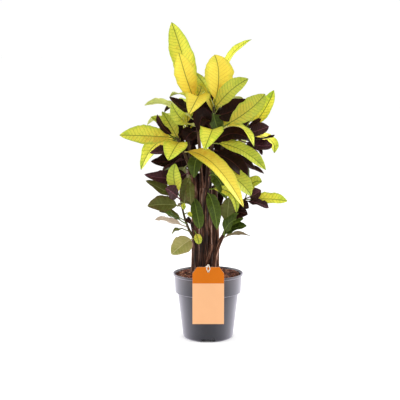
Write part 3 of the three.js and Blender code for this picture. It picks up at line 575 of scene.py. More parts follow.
# %% Waxy leaves
def blade_finish(name, paint):
    """A waxy croton leaf in the given paints."""
    finish, put = new_finish(name)
    measure = put(ATTRIBUTE, {"attribute_name": "blade_mm"}).outputs["Vector"]
    place = put(SPLIT, None, [measure])
    lot = put(ATTRIBUTE, {"attribute_name": "lot"}).outputs["Fac"]
    turn = put(MATH, "MULTIPLY", [lot, SET_APART["paint"]])
    patches = {"Vector": measure, "W": turn, "Scale": 1 / BLOTCH, "Detail": 4.0, "Roughness": 0.62}
    patch = put(NOISE, UNLIKE, patches)
    aside = put(MATH, "ABSOLUTE", [place.outputs["X"]])

    # Side veins: the distance along the midrib where the vein through this point began.
    bend = put(MATH, "MULTIPLY_ADD", [aside, VEIN["curve"], VEIN["lean"]])
    drift = put(MATH, "MULTIPLY", [bend, aside])
    began = put(MATH, "SUBTRACT", [place.outputs["Z"], drift])
    stray = put(MATH, "MULTIPLY_ADD", [began, 1 / VEIN["apart"], patch])
    right = put(MATH, "GREATER_THAN", [place.outputs["X"], 0.0])
    stagger = put(MATH, "MULTIPLY_ADD", [right, 0.5, stray])
    between = put(MATH, "PINGPONG", [stagger, 0.5])
    vein = put(RANGE, EASED, [between, 0.0, VEIN["width"], 1.0, 0.0])
    midrib = put(RANGE, EASED, [aside, 0.3, MIDRIB, 1.0, 0.0])

    # The skin's tone runs from the foot to the tip, drifts in patches and differs between the halves.
    halves = put(MATH, "MULTIPLY", [put(MATH, "SUBTRACT", [right, 0.5]), put(MATH, "SUBTRACT", [lot, 0.4])])
    tone = put(MATH, "MULTIPLY_ADD", [patch, DRIFT["patches"], -DRIFT["patches"] / 2])
    tone = put(MATH, "MULTIPLY_ADD", [halves, DRIFT["halves"], tone])
    tone = put(MATH, "MULTIPLY_ADD", [put(MATH, "SUBTRACT", [lot, 0.5]), DRIFT["leaves"], tone])
    tone = put(MATH, "MULTIPLY_ADD", [place.outputs["Y"], DRIFT["length"], tone])
    colour = put(RAMP, {"stops": paint["skin"]}, [tone]).outputs["Color"]

    # On it lie the margin, a fine net, the veins and the midrib, and below it the underside.
    skin = put(SPLIT, None, [put(ATTRIBUTE, {"attribute_name": "ring"}).outputs["Vector"]])
    edge = put(MATH, "ABSOLUTE", [skin.outputs["X"]])
    rim = put(MATH, "MULTIPLY_ADD", [patch, 0.5, edge])
    net = put("ShaderNodeTexVoronoi", {"feature": "DISTANCE_TO_EDGE"}, {"Vector": measure, "Scale": 1 / NET})
    below = put(MATH, "LESS_THAN", [skin.outputs["Y"], 0.0])
    layers = {
        "margin": put(RANGE, EASED, [rim, 0.98, 1.3]),
        "net": put(RANGE, EASED, [net, 0.02, 0.14, 0.3, 0.0]),
        "vein": put(MATH, "MULTIPLY", [vein, paint["veined"]]),
        "midrib": midrib,
        "under": put(MATH, "MULTIPLY", [below, UNDERSIDE]),
    }
    for part, share in layers.items():
        over = paint["vein" if part == "net" else part]
        colour = put(MIX, COLOURS, {"Factor": share, "A": colour, "B": over})
    value = put(RANGE, None, [lot, 0.0, 1.0, 0.9, 1.08])
    colour = put("ShaderNodeHueSaturation", None, {"Value": value, "Color": colour})

    # Relief: veins sink into the upper side, and the skin between them swells a little.
    dents = put(MATH, "MULTIPLY_ADD", [vein, 0.7, midrib])
    height = put(MATH, "MULTIPLY_ADD", [dents, -0.8, patch])
    relief = put(BUMP, None, {"Strength": 0.7, "Distance": 0.7 * MM, "Height": height})
    coat = {"Base Color": colour, "Roughness": 0.46, "IOR": 1.45, "Normal": relief}
    leather = put(PRINCIPLED, None, {**coat, "Specular IOR Level": paint["shine"]})
    glow = put("ShaderNodeBsdfTranslucent", None, {"Color": colour, "Normal": relief})
    both = put("ShaderNodeMixShader", None, [paint["sheer"], leather, glow])
    put(SURFACE, None, {"Surface": both})
    return finish


blade_finishes = {kind: blade_finish(f"waxy {kind} croton leaf", paint) for kind, paint in PAINTS.items()}
print("a leaf finish has", len(blade_finishes["young"].node_tree.nodes), "nodes")

# %% [markdown]
# ## Leaves
#
# Every leaf is the same unit form, bent by its own numbers: a closed tube of points that is laid
# along the leaf's curve, spread to the blade's width and pressed flat. That suits geometry nodes:
# each leaf goes in as one bare point that carries its numbers as attributes, the unit form is put
# on it, and one formula moves every point of that form. A blade is widest a little before its
# middle, folds up along its midrib and waves at its edges, and at its foot it runs out into a
# round stalk.

# %% The blade's sizes
BLADE = {
    "Points round": 24,
    "Points along": 44,
    "Thickness": 0.9 * MM,
    "Stalk": 1.5 * MM,
    "Fold": 0.3,  # how far each half rises from flat, in radians
    "Wave height": 2.4 * MM,
    "Waves": 1.6,  # along a blade
    "Ripple": 6 * MM,
    "Ragged": 0.3,  # how far the ripples move the edge in and out, as a share of the width
}
WIDEST = 0.47  # how far up a blade it is widest
FULL = 0.7  # how slowly it widens up to there
POINTED = 0.8  # how sharply it narrows from there to the tip
RUN_OUT = 0.1  # the share of a blade over which it runs out into its stalk
EDGE = 0.3 * MM  # half the least width, which is left at the tip
DRAWN_IN = 0.55  # how far points are drawn to the midrib, because a circle has few of them there
BETWEEN_WAVES = 2.0  # how far apart the waves of the two edges begin, in radians
RIPPLES = 8.0  # along a blade
LOT_STEP = 0.618  # the golden section keeps the lots of neighbours far apart
print("a blade has", BLADE["Points round"] * (BLADE["Points along"] + 1), "points")


# %% The leaf tree
def leaf_tree():
    """The tree that turns bare points with a leaf's numbers into leaves."""
    tree, put, wanted = new_tree("croton leaves", {**BLADE, **{kind: "" for kind in PAINTS}})

    # The unit form, on every point.
    size = {"Vertices": wanted["Points round"], "Side Segments": wanted["Points along"], "Radius": 1.0}
    unit = put("GeometryNodeMeshCylinder", {"fill_type": "NGON"}, {**size, "Depth": 1.0})
    here = put("GeometryNodeInputPosition")
    unit = put(STORE, VECTORS, {"Geometry": unit, "Name": "ring", "Value": here})
    leaves = put(COPIES, None, {"Points": wanted["Geometry"], "Instance": unit})
    leaves = put(REAL, None, [leaves])

    # The curve: its point and its direction at t, from 0 at the base to 1 at the tip.
    places = ("ring", "base", "bend", "tip", "face")
    ring, base, bend, tip, face = [put(OWN, VECTORS, [name]) for name in places]
    ring = put(SPLIT, None, [ring])
    foot, width, length, lot = [put(OWN, NUMBERS, [name]) for name in ("foot", "width", "length", "lot")]
    t = put(MATH, "ADD", [ring.outputs["Z"], 0.5])
    low = put(MIX, {"data_type": "VECTOR"}, {"Factor": t, "A": base, "B": bend})
    high = put(MIX, {"data_type": "VECTOR"}, {"Factor": t, "A": bend, "B": tip})
    centre = put(MIX, {"data_type": "VECTOR"}, {"Factor": t, "A": low, "B": high})
    ahead = put(VECTOR, "NORMALIZE", [put(VECTOR, "SUBTRACT", [high, low])])
    leaning = put(VECTOR, "DOT_PRODUCT", [face, ahead])
    lost = put(VECTOR, "SCALE", {0: ahead, "Scale": leaning})
    up = put(VECTOR, "NORMALIZE", [put(VECTOR, "SUBTRACT", [face, lost])])
    side = put(VECTOR, "CROSS_PRODUCT", [up, ahead])

    # How wide the blade is at s, from 0 at its foot to 1 at its tip, and where this point is in it.
    s = put(RANGE, None, [t, foot, 1.0])
    swell = put(MATH, "POWER", [put(MATH, "DIVIDE", [s, WIDEST]), FULL])
    left = put(MATH, "DIVIDE", [put(MATH, "SUBTRACT", [1.0, s]), 1 - WIDEST])
    lance = put(MATH, "MULTIPLY", [swell, put(MATH, "POWER", [left, POINTED])])
    spread = put(MATH, "MULTIPLY_ADD", [put(MATH, "ABSOLUTE", [ring.outputs["X"]]), DRAWN_IN, 1 - DRAWN_IN])
    v = put(MATH, "MULTIPLY", [ring.outputs["X"], spread])

    # Waves of the edge, and finer ripples in and out and up and down that differ from leaf to leaf.
    right = put(MATH, "GREATER_THAN", [v, 0.0])
    start = put(MATH, "MULTIPLY_ADD", [right, -BETWEEN_WAVES, BETWEEN_WAVES])
    rounds = put(MATH, "MULTIPLY", [wanted["Waves"], 2 * math.pi])
    wave = put(MATH, "SINE", [put(MATH, "MULTIPLY_ADD", [s, rounds, start])])
    wave = put(MATH, "MULTIPLY", [wave, wanted["Wave height"]])
    where = put(COMBINE, None, [put(MATH, "MULTIPLY", [s, RIPPLES]), right])
    grain = {"Vector": where, "W": put(MATH, "MULTIPLY", [lot, SET_APART["ripple"]]), "Scale": 1.0}
    noise = put(MATH, "SUBTRACT", [put(NOISE, UNLIKE, {**grain, "Detail": 1.5}), 0.5])
    wave = put(MATH, "MULTIPLY_ADD", [noise, wanted["Ripple"], wave])
    full = put(MATH, "MULTIPLY", [lance, put(MATH, "MULTIPLY", [width, 0.5])])
    wide = put(MATH, "MULTIPLY", [full, put(MATH, "MULTIPLY_ADD", [noise, wanted["Ragged"], 1.0])])
    rise = put(MATH, "MULTIPLY", [wide, put(MATH, "SINE", [wanted["Fold"]])])
    lift = put(MATH, "MULTIPLY", [put(MATH, "ABSOLUTE", [v]), put(MATH, "MULTIPLY_ADD", [wave, lance, rise])])

    # Stalk and skin: round at the stalk, thin in the blade.
    opened = [s, 0.0, RUN_OUT, wanted["Stalk"]]
    stalk = put(RANGE, None, [*opened, EDGE])
    half = put(MATH, "MAXIMUM", [wide, stalk])
    out = put(MATH, "MULTIPLY", [put(MATH, "MULTIPLY", [v, half]), put(MATH, "COSINE", [wanted["Fold"]])])
    thin = put(RANGE, None, [*opened, put(MATH, "MULTIPLY", [wanted["Thickness"], 0.5])])
    skin = put(MATH, "MULTIPLY_ADD", [ring.outputs["Y"], thin, lift])
    aside = put(VECTOR, "SCALE", {0: side, "Scale": out})
    above = put(VECTOR, "SCALE", {0: up, "Scale": skin})
    place = put(VECTOR, "ADD", [centre, put(VECTOR, "ADD", [aside, above])])

    # The leaf's own measure for its finish: millimetres across, share of the way, millimetres along.
    across = put(MATH, "DIVIDE", [put(MATH, "MULTIPLY", [v, wide]), MM])
    along = put(MATH, "DIVIDE", [put(MATH, "MULTIPLY", [t, length]), MM])
    measure = put(COMBINE, None, [across, s, along])
    leaves = put(STORE, VECTORS, {"Geometry": leaves, "Name": "blade_mm", "Value": measure})
    leaves = put(MOVE, None, {"Geometry": leaves, "Position": place})
    leaves = put(SMOOTH, None, {"Geometry": leaves})
    leaves = put(REAL, None, [leaves])
    number = put(OWN, {"data_type": "INT"}, ["kind"])
    for this, kind in enumerate(PAINTS):
        equal = {"data_type": "INT", "operation": "EQUAL"}
        chosen = put("FunctionNodeCompare", equal, {"A": number, "B": this})
        paint = {"Geometry": leaves, "Selection": chosen, "Material": wanted[kind]}
        leaves = put("GeometryNodeSetMaterial", None, paint)
    put("NodeGroupOutput", None, [leaves])
    return tree


leaves_recipe = leaf_tree()
print("the leaf tree has", len(leaves_recipe.nodes), "nodes")


# %% Leaves on their wood
def leaf_points(stem, first):
    """A bare point for each leaf of a stem, with the leaf's numbers in metres."""
    rows = list(leaf_places(stem))
    mesh = bpy.data.meshes.new("leaf points")
    mesh.from_pydata([row[0] * MM for row in rows], [], [])
    length = [(m - b).length + (t - m).length for b, m, t, *_ in rows]
    numbers = {
        ("base", "FLOAT_VECTOR"): [b * MM for b, *_ in rows],
        ("bend", "FLOAT_VECTOR"): [control(b, m, t) * MM for b, m, t, *_ in rows],
        ("tip", "FLOAT_VECTOR"): [t * MM for _, _, t, *_ in rows],
        ("face", "FLOAT_VECTOR"): [row[4].normalized() for row in rows],
        ("width", "FLOAT"): [row[3] * MM for row in rows],
        ("foot", "FLOAT"): [row[6] / far for row, far in zip(rows, length)],
        ("length", "FLOAT"): [far * MM for far in length],
        ("lot", "FLOAT"): [((first + i) * LOT_STEP) % 1 for i in range(len(rows))],
        ("kind", "INT"): [list(PAINTS).index(row[5]) for row in rows],
    }
    for (name, kind), values in numbers.items():
        attribute = mesh.attributes.new(name, kind, "POINT")
        field = "vector" if kind == "FLOAT_VECTOR" else "value"
        for item, value in zip(attribute.data, values):
            setattr(item, field, value)
    return mesh


count = 0
for name, stem in STEMS.items():
    points = leaf_points(stem, count)
    piece(f"leaves_of_{name}", made_by(leaves_recipe, points, blade_finishes), "foliage", name)
    count += len(points.vertices)
print(count, "leaves")

# %% [markdown]
# ## The canes' finish
#
# The lower canes are woody. Their bark is dark brown and has split lengthwise as they grew. The
# finish colours it by the ridges' height: near black in the splits, a light, pinkish brown on the
# ridges between them. Towards the tips the wood is still young, smooth and olive green. The bark's
# measure runs round the cane and along it, so the ridges are long and narrow, and the thickness of
# the wood says how old it is.

# %% Bark
RIDGE = {"apart": 3.2, "slender": 0.11}  # mm from ridge to ridge, and that as a share of a ridge's length
LEVEL = 0.55  # the height of a ridge, out of 1, that stays at the wood's true radius


def ridges(put, measure, lot):
    """The height of the bark's ridges, from 0 to 1. The finish and the form both use it."""
    lengthwise = put(VECTOR, "MULTIPLY", [measure, (1.0, 1.0, RIDGE["slender"])])
    grain = {"Vector": lengthwise, "Scale": 1 / RIDGE["apart"], "Detail": 3.0, "Roughness": 0.55}
    return put(NOISE, UNLIKE, {**grain, "W": put(MATH, "MULTIPLY", [lot, SET_APART["bark"]])})


def bark_finish():
    """Split bark that turns to smooth green wood where a cane is thin."""
    finish, put = new_finish("croton bark")
    measure = put(ATTRIBUTE, {"attribute_name": "bark_mm"}).outputs["Vector"]
    lot = put(ATTRIBUTE, {"attribute_name": "lot"}).outputs["Fac"]
    girth = put(ATTRIBUTE, {"attribute_name": "girth_mm"}).outputs["Fac"]
    ridge = ridges(put, measure, lot)
    browns = {0.36: "#140a06", 0.47: "#331d13", 0.56: "#553424", 0.63: "#86604d", 0.74: "#c4a08e"}
    # The colour follows the ridges' height, near black in the splits and light on the ridges, shifted a
    # little from cane to cane.
    ridge_tone = put(MATH, "MULTIPLY_ADD", [put(MATH, "SUBTRACT", [lot, 0.5]), 0.16, ridge])
    bark = put(RAMP, {"stops": browns}, [ridge_tone])
    grain = put(NOISE, None, {"Vector": measure, "Scale": 0.6, "Detail": 3.0})
    green = put(MIX, COLOURS, {"Factor": grain, "A": "#33291a", "B": "#504528"})
    young = put(RANGE, None, [girth, 3.2, 4.6, 1.0, 0.0])
    colour = put(MIX, COLOURS, {"Factor": young, "A": bark.outputs["Color"], "B": green})
    rough = put(MATH, "MULTIPLY_ADD", [grain, 0.3, ridge])
    relief = put(BUMP, None, {"Strength": 0.8, "Distance": 1.2 * MM, "Height": rough})
    skin = {"Base Color": colour, "Roughness": 0.8, "Specular IOR Level": 0.2, "Normal": relief}
    end_finish(put, skin)
    return finish


bark = bark_finish()
print("bark ridges are", RIDGE["apart"], "mm apart")

# %% [markdown]
# ## Canes
#
# A cane follows a path and only its thickness changes, which is what Curve to Mesh is for. Each
# wood is a Bezier curve with its radius at both ends. The tree steps along it, sweeps a circle,
# and lifts the ridges out of the surface, by the same pattern that colours them.

# %% The cane tree
CANE = {"Step": 2.5 * MM, "Sides": 24, "Ridge height": 1.6 * MM, "Seed": 0, "Finish": ""}


def cane_tree():
    """The tree that sweeps woods along their curves and splits their bark."""
    tree, put, wanted = new_tree("croton canes", CANE)
    steps = {"Curve": wanted["Geometry"], "Length": wanted["Step"]}
    canes = put("GeometryNodeResampleCurve", {"mode": "LENGTH"}, steps)
    radius = put("GeometryNodeInputRadius")
    run = put("GeometryNodeSplineParameter").outputs["Length"]
    pick = put(RANDOM, NUMBERS, {"Seed": wanted["Seed"]})
    canes = put(STORE, NUMBERS, {"Geometry": canes, "Name": "run", "Value": run})
    canes = put(STORE, NUMBERS, {"Geometry": canes, "Name": "girth", "Value": radius})
    canes = put(STORE, {**NUMBERS, "domain": "CURVE"}, {"Geometry": canes, "Name": "lot", "Value": pick})
    circle = put(CIRCLE, None, {"Resolution": wanted["Sides"], "Radius": 1.0})
    here = put("GeometryNodeInputPosition")
    circle = put(STORE, VECTORS, {"Geometry": circle, "Name": "round", "Value": here})
    canes = put(SWEEP, None, {"Curve": canes, "Profile Curve": circle, "Scale": radius, "Fill Caps": True})

    run, girth, lot = [put(OWN, NUMBERS, [name]) for name in ("run", "girth", "lot")]
    round_mm = put(VECTOR, "SCALE", {0: put(OWN, VECTORS, ["round"]), "Scale": girth})
    measure = put(VECTOR, "ADD", [round_mm, put(COMBINE, None, {"Z": run})])
    measure = put(VECTOR, "SCALE", {0: measure, "Scale": 1 / MM})
    canes = put(STORE, VECTORS, {"Geometry": canes, "Name": "bark_mm", "Value": measure})
    girth = put(MATH, "DIVIDE", [girth, MM])
    canes = put(STORE, NUMBERS, {"Geometry": canes, "Name": "girth_mm", "Value": girth})
    measure = put(OWN, VECTORS, ["bark_mm"])
    split = put(MATH, "SUBTRACT", [ridges(put, measure, lot), LEVEL])
    old = put(RANGE, None, [girth, 3.5, 6.0, 0.15, 1.0])
    height = put(MATH, "MULTIPLY", [put(MATH, "MULTIPLY", [split, old]), wanted["Ridge height"]])
    lift = put(VECTOR, "SCALE", {0: put("GeometryNodeInputNormal"), "Scale": height})
    canes = put(MOVE, None, {"Geometry": canes, "Offset": lift})
    canes = put(SMOOTH, None, {"Geometry": canes})
    end_tree(put, canes, wanted["Finish"])
    return tree


canes_recipe = cane_tree()
print("the cane tree has", len(canes_recipe.nodes), "nodes")

# %% Woods as curves
TO_HANDLE = 2 / 3  # of the way to the one control point lie the two handles of the same curve


def wood_curves(stem):
    """The woods of a stem as curves in metres, each with its radius at both ends."""
    data = bpy.data.curves.new("woods", "CURVE")
    data.dimensions = "3D"
    for _, a, m, b, thick, thin in stem["wood"]:
        a, m, b = (Vector(p) * MM for p in (a, m, b))
        spline = data.splines.new("BEZIER")
        spline.bezier_points.add(1)
        for point, place, radius in zip(spline.bezier_points, (a, b), (thick, thin)):
            point.handle_left_type = point.handle_right_type = "FREE"
            point.co = place
            point.handle_left = point.handle_right = place.lerp(control(a, m, b), TO_HANDLE)
            point.radius = radius * MM
    return data


for seed, (name, stem) in enumerate(STEMS.items()):
    mesh = made_by(canes_recipe, wood_curves(stem), {"Seed": seed, "Finish": bark})
    piece(f"wood_of_{name}", mesh, "foliage", name)
print(sum(len(stem["wood"]) for stem in STEMS.values()), "woods")

# %% [markdown]
# ## The pot's finish
#
# The pot is injection-moulded polypropylene, the cheap charcoal plastic of most nurseries. Its mould
# leaves a fine, even matt texture with a soft sheen, dark where you look straight at it and bright
# where it turns away, and soil dust sticks below the lip.

# %% Moulded plastic
MOULD_GRAIN = 1.2  # mm, drawn coarser than the real 0.2 mm so that it shows at all
CLOUD = 28  # mm, how wide the uneven patches of the plastic are
DUSTY = (120 * MM, 160 * MM)  # the heights between which the dust grows


def pot_finish():
    """Matt charcoal polypropylene with a little dust."""
    finish, put = new_finish("moulded polypropylene")
    place = put(PLACE).outputs["Object"]
    grain = put(NOISE, None, {"Vector": place, "Scale": 1 / (MOULD_GRAIN * MM), "Detail": 2.0})
    cloud = put(NOISE, None, {"Vector": place, "Scale": 1 / (CLOUD * MM), "Detail": 4.0, "Roughness": 0.6})
    height = put(SPLIT, None, [place]).outputs["Z"]
    top = put(RANGE, EASED, [height, *DUSTY, 0.0, 0.35])
    dust = put(MATH, "MULTIPLY", [top, cloud])
    tone = put(MIX, COLOURS, {"Factor": cloud, "A": "#101016", "B": "#191921"})
    colour = put(MIX, COLOURS, {"Factor": dust, "A": tone, "B": "#5b4c46"})
    sheen = put(MATH, "MULTIPLY_ADD", [cloud, 0.14, 0.3])
    relief = put(BUMP, None, {"Strength": 0.12, "Distance": 0.3 * MM, "Height": grain})
    skin = {"Base Color": colour, "Roughness": sheen, "IOR": 1.5, "Specular IOR Level": 0.3, "Normal": relief}
    skin.update({"Sheen Weight": 1.0, "Sheen Roughness": 0.51, "Sheen Tint": "#e4e0f0"})
    end_finish(put, skin)
    return finish


plastic = pot_finish()
print("mould grain is drawn", MOULD_GRAIN, "mm wide")

# %% [markdown]
# ## The pot
#
# A pot is turned: one profile, swept round the upright axis. The profile runs up the outside, over
# the lip and down the inside to the floor, with the small radii that a mould needs. Four drain
# channels cross the foot under raised roofs, each with a hole into the pot. They repeat round the
# axis, so a geometry tree instances one bar four times and cuts with it.

# %% The pot's sizes
POT = {"height": 160, "lip": 85, "lip_z": 154.5, "collar_top": 82, "collar_foot": 79.8, "collar_z": 112}
POT.update({"body_top": 73.6, "body_foot": 60.4, "heel": 6, "wall": 1.4, "floor": 2, "sides": 144})
POT.update({"half_step": 1, "inner_heel": 4, "edge_radius": 1.0, "under_lip": 0.4})
GAP = 0.3  # mm between pieces that touch
CHANNEL = {"Count": 4, "Foot width": 38 * MM, "Top width": 28 * MM, "Height": 7 * MM, "Start": 30 * MM}
CHANNEL.update({"Wall": POT["wall"] * MM, "Drain radius": 4 * MM, "Drain at": 45 * MM})
CUT = {"out": 120 * MM, "down": 30 * MM, "below": MM}  # how far the cutters reach
print("the pot is", 2 * POT["lip"], "mm across and", POT["height"], "mm high")

# %% Turning a profile
NEAREST = 1 / 2.1  # of a side's length, so that two rounded corners never meet


def rounded(corners, radius, steps=5):
    """A line of (r, z) corners with each inner corner turned into a small curve."""
    line = [Vector(corners[0])]
    for before, corner, after in zip(corners, corners[1:], corners[2:]):
        before, corner, after = Vector(before), Vector(corner), Vector(after)
        near = min(radius, NEAREST * (before - corner).length, NEAREST * (after - corner).length)
        start = corner + (before - corner).normalized() * near
        end = corner + (after - corner).normalized() * near
        for i in range(steps + 1):
            t = i / steps
            line.append(start.lerp(corner, t).lerp(corner.lerp(end, t), t))
    return line + [Vector(corners[-1])]


def turned(profile, sides, lift=None):
    """A closed mesh in metres from (r, z) points that start and end on the axis."""
    mesh = bpy.data.meshes.new("turned")
    form = bmesh.new()
    rings = []
    for r, z in profile:
        ring = []
        for k in range(1 if r == 0 else sides):
            angle = 2 * math.pi * k / sides
            x, y = r * math.cos(angle), r * math.sin(angle)
            ring.append(form.verts.new((x * MM, y * MM, (z + (lift(x, y, z) if lift else 0)) * MM)))
        rings.append(ring)
    for low, high in zip(rings, rings[1:]):
        for k in range(sides):
            corners = [low[k % len(low)], low[(k + 1) % len(low)]]
            corners += [high[(k + 1) % len(high)], high[k % len(high)]]
            form.faces.new(list(dict.fromkeys(corners)))
    bmesh.ops.recalc_face_normals(form, faces=form.faces)
    form.to_mesh(mesh)
    form.free()
    return mesh


def smoothed(mesh, degrees=35):
    """Smooth shading, with sharp edges where faces meet at more than that angle."""
    mesh.shade_smooth()
    mesh.set_sharp_from_angle(angle=math.radians(degrees))
    return mesh


print("a rounded corner has", len(rounded([(0, 0), (9, 0), (9, 9)], 1)) - 2, "points")


# %% The pot's profile
def inside(z):
    """The pot's inner radius at height z."""
    if z <= POT["collar_z"]:
        return POT["body_foot"] - POT["wall"] + (POT["body_top"] - POT["body_foot"]) * z / POT["collar_z"]
    up = (z - POT["collar_z"]) / (POT["lip_z"] - POT["collar_z"])
    return POT["collar_foot"] - POT["wall"] + (POT["collar_top"] - POT["collar_foot"]) * up


low, high = POT["collar_z"] - POT["half_step"], POT["collar_z"] + POT["half_step"]
outer = [(POT["body_foot"], 0), (POT["body_top"], low), (POT["collar_foot"], high)]
outer += [(POT["collar_top"], POT["lip_z"] - POT["half_step"])]
outer += [(POT["lip"], POT["lip_z"] + POT["under_lip"]), (POT["lip"], POT["height"])]
inner = [(POT["lip"] - POT["wall"], POT["height"]), (inside(POT["lip_z"]), POT["lip_z"])]
inner += [(inside(high), high), (inside(POT["collar_z"]), low), (inside(POT["heel"]), POT["heel"])]
inner += [(inside(POT["heel"]) - POT["inner_heel"], POT["floor"])]
heel = rounded([(0, 0), outer[0], outer[1]], POT["heel"], 8)
wall = rounded([heel[-2], *outer[1:], *inner, (0, POT["floor"])], POT["edge_radius"])
solid = rounded([heel[-2], *outer[1:], (0, POT["height"])], POT["edge_radius"])
shell, full = (turned([*heel[:-1], *line[1:]], POT["sides"]) for line in (wall, solid))
print("the profile has", len(heel) + len(wall), "points")


# %% The drainage tree
def drainage_tree():
    """The tree that raises the channels' roofs in a pot and cuts the channels and the drain holes."""
    tree, put, wanted = new_tree("pot drainage", {**CHANNEL, "Full form": None, "Finish": ""})
    full = put("GeometryNodeObjectInfo", None, [wanted["Full form"]]).outputs["Geometry"]
    turn = put(MATH, "DIVIDE", [2 * math.pi, wanted["Count"]])
    turn = put(MATH, "MULTIPLY", [turn, put("GeometryNodeInputIndex")])
    turn = put(COMBINE, None, {"Z": turn})
    points = put("GeometryNodePoints", None, {"Count": wanted["Count"]})

    def all_round(bar):
        """One bar or hole, repeated round the pot's axis."""
        copies = put(COPIES, None, {"Points": points, "Instance": bar, "Rotation": turn})
        return put(REAL, None, [copies])

    bars = []
    for walls in (2.0, 0.0):  # the roof, and the channel under it
        more = put(MATH, "MULTIPLY", [wanted["Wall"], walls])
        foot = put(MATH, "ADD", [wanted["Foot width"], more])
        top = put(MATH, "ADD", [wanted["Top width"], more])
        rise = put(MATH, "MULTIPLY_ADD", [more, 0.5, wanted["Height"]])
        high = put(MATH, "ADD", [rise, CUT["below"]])
        # The section hangs head down.
        section = {"Height": high, "Bottom Width": top, "Top Width": foot, "Offset": 0.0}
        section = put("GeometryNodeCurvePrimitiveQuadrilateral", {"mode": "TRAPEZOID"}, section)
        begin = put(MATH, "MULTIPLY_ADD", [more, 0.5, put(MATH, "MULTIPLY", [wanted["Start"], -1.0])])
        start = put(COMBINE, None, {"Y": begin})
        end = put(VECTOR, "ADD", [start, (0.0, -CUT["out"], 0.0)])
        path = put("GeometryNodeCurvePrimitiveLine", None, {"Start": start, "End": end})
        bar = put(SWEEP, None, {"Curve": path, "Profile Curve": section, "Fill Caps": True})
        middle = put(MATH, "SUBTRACT", [put(MATH, "MULTIPLY", [high, 0.5]), CUT["below"]])
        lift = put(COMBINE, None, {"Z": middle})
        bars.append(put("GeometryNodeTransform", None, {"Geometry": bar, "Translation": lift}))
    hole = {"Vertices": 32, "Radius": wanted["Drain radius"], "Depth": CUT["down"]}
    hole = put("GeometryNodeMeshCylinder", None, hole)
    away = put(COMBINE, None, {"Y": put(MATH, "MULTIPLY", [wanted["Drain at"], -1.0])})
    hole = put("GeometryNodeTransform", None, {"Geometry": hole, "Translation": away})

    roofs = put(BOOLEAN, {"operation": "INTERSECT", "solver": "MANIFOLD"}, {1: all_round(bars[0])})
    tree.links.new(full, roofs.inputs[1])
    pot = put(BOOLEAN, {"operation": "UNION", "solver": "MANIFOLD"}, {1: roofs})
    tree.links.new(wanted["Geometry"], pot.inputs[1])
    for cutter in (all_round(bars[1]), all_round(hole)):
        cut = {"operation": "DIFFERENCE", "solver": "MANIFOLD"}
        pot = put(BOOLEAN, cut, {"Mesh 1": pot, "Mesh 2": cutter})
    end_tree(put, pot, wanted["Finish"])
    return tree


full_form = scratch(full)
pot_mesh = made_by(drainage_tree(), shell, {"Full form": full_form, "Finish": plastic})
bpy.data.objects.remove(full_form)
piece("pot_shell", smoothed(pot_mesh), "pot", "pot")

# %% [markdown]
# ## The soil's finish
#
# The soil is covered with pine bark mulch: chips of bark, broken by a mill and sieved, damp and
# reddish brown, a few of them with pale wood on one side. Every chip carries its own shade, and the
# bare soil between them is darker than any of them. Bark is dull, so it is rough and barely shines.

# %% Bark mulch
def mulch_finish():
    """Damp pine bark, each chip in its own brown."""
    finish, put = new_finish("pine bark mulch")
    place = put(PLACE).outputs["Object"]
    shade = put(ATTRIBUTE, {"attribute_name": "shade"}).outputs["Fac"]
    fibre = put(NOISE, None, {"Vector": place, "Scale": 1 / (2.2 * MM), "Detail": 5.0, "Roughness": 0.7})
    tone = put(MATH, "MULTIPLY_ADD", [put(MATH, "SUBTRACT", [fibre, 0.5]), 0.35, shade])
    browns = {0.0: "#1b0e0a", 0.16: "#2e1811", 0.4: "#4a271a", 0.62: "#643525", 0.88: "#854a35"}
    browns[0.98] = "#a97c58"
    colour = put(RAMP, {"stops": browns}, [tone])
    relief = put(BUMP, None, {"Strength": 0.9, "Distance": 0.8 * MM, "Height": fibre})
    end_finish(put, {"Base Color": colour, "Roughness": 0.86, "IOR": 1.45, "Normal": relief})
    return finish


mulch = mulch_finish()
print("soil finish:", mulch.name)

# %% [markdown]
# ## The soil and its chips
#
# Below, the soil is turned like the pot: it fills the inside and its top is mounded and uneven. The
# chips repeat hundreds of times and lie wherever the top is, which is a job for a geometry tree:
# points are scattered a few millimetres apart, cleared round the canes, and one small ragged block
# is set on each of them, turned, tipped and scaled at random, from a fixed seed.

# %% The soil
SOIL = {"bottom": 9.3, "edge": 155.5, "mound": 4, "relief": 1.6, "rings": 30, "sides": 120}
SOIL.update({"rim": inside(SOIL["edge"]) - GAP, "shoulder": 0.5})
# Crossing waves: their share of the relief, the radians per mm of both in x and y, and a shift.
LUMPS = [(0.6, (0.31, 0.11), (-0.09, 0.27), 1), (0.5, (0.73, -0.4), (0.35, 0.66), 0)]
CHIPS = {"Apart": 3.3 * MM, "Length": 9 * MM, "Width": 4.8 * MM, "Thickness": 2.4 * MM, "Ragged": 1.5 * MM}
CHIPS.update({"Clear of canes": 9.5 * MM, "Rim": SOIL["rim"] * MM, "Seed": 4})
BESIDE = (2.5 * MM, 12 * MM)  # nearer to the wall than this lies no chip, or only small ones
LEVEL_TOP = 0.5  # how upright the soil's surface stands where chips lie, as the rise of its normal
CRUMB = 3 * MM  # how coarse the breaks at a chip's corners are


def lumps(x, y, z):
    """How far the soil's top stands up at a point: its share of the relief, wave by wave."""
    if z < SOIL["edge"]:
        return 0
    waves = [share * math.sin(a * x + b * y) * math.sin(c * x + d * y + shift)
             for share, (a, b), (c, d), shift in LUMPS]
    return SOIL["relief"] * sum(waves)


def soil_profile():
    """The soil's (r, z) points: its flat foot, its side along the pot's wall, its mounded top."""
    step = POT["half_step"]
    heights = [SOIL["bottom"], POT["collar_z"] - step, POT["collar_z"] + 2 * step]
    side = [(inside(z) - GAP, z) for z in [*heights, SOIL["edge"] - SOIL["shoulder"]]]
    shares = [i / SOIL["rings"] for i in range(SOIL["rings"], -1, -1)]
    top = [(SOIL["rim"] * share, SOIL["edge"] + SOIL["mound"] * (1 - share ** 2)) for share in shares]
    return [(0, SOIL["bottom"]), *side, *top]


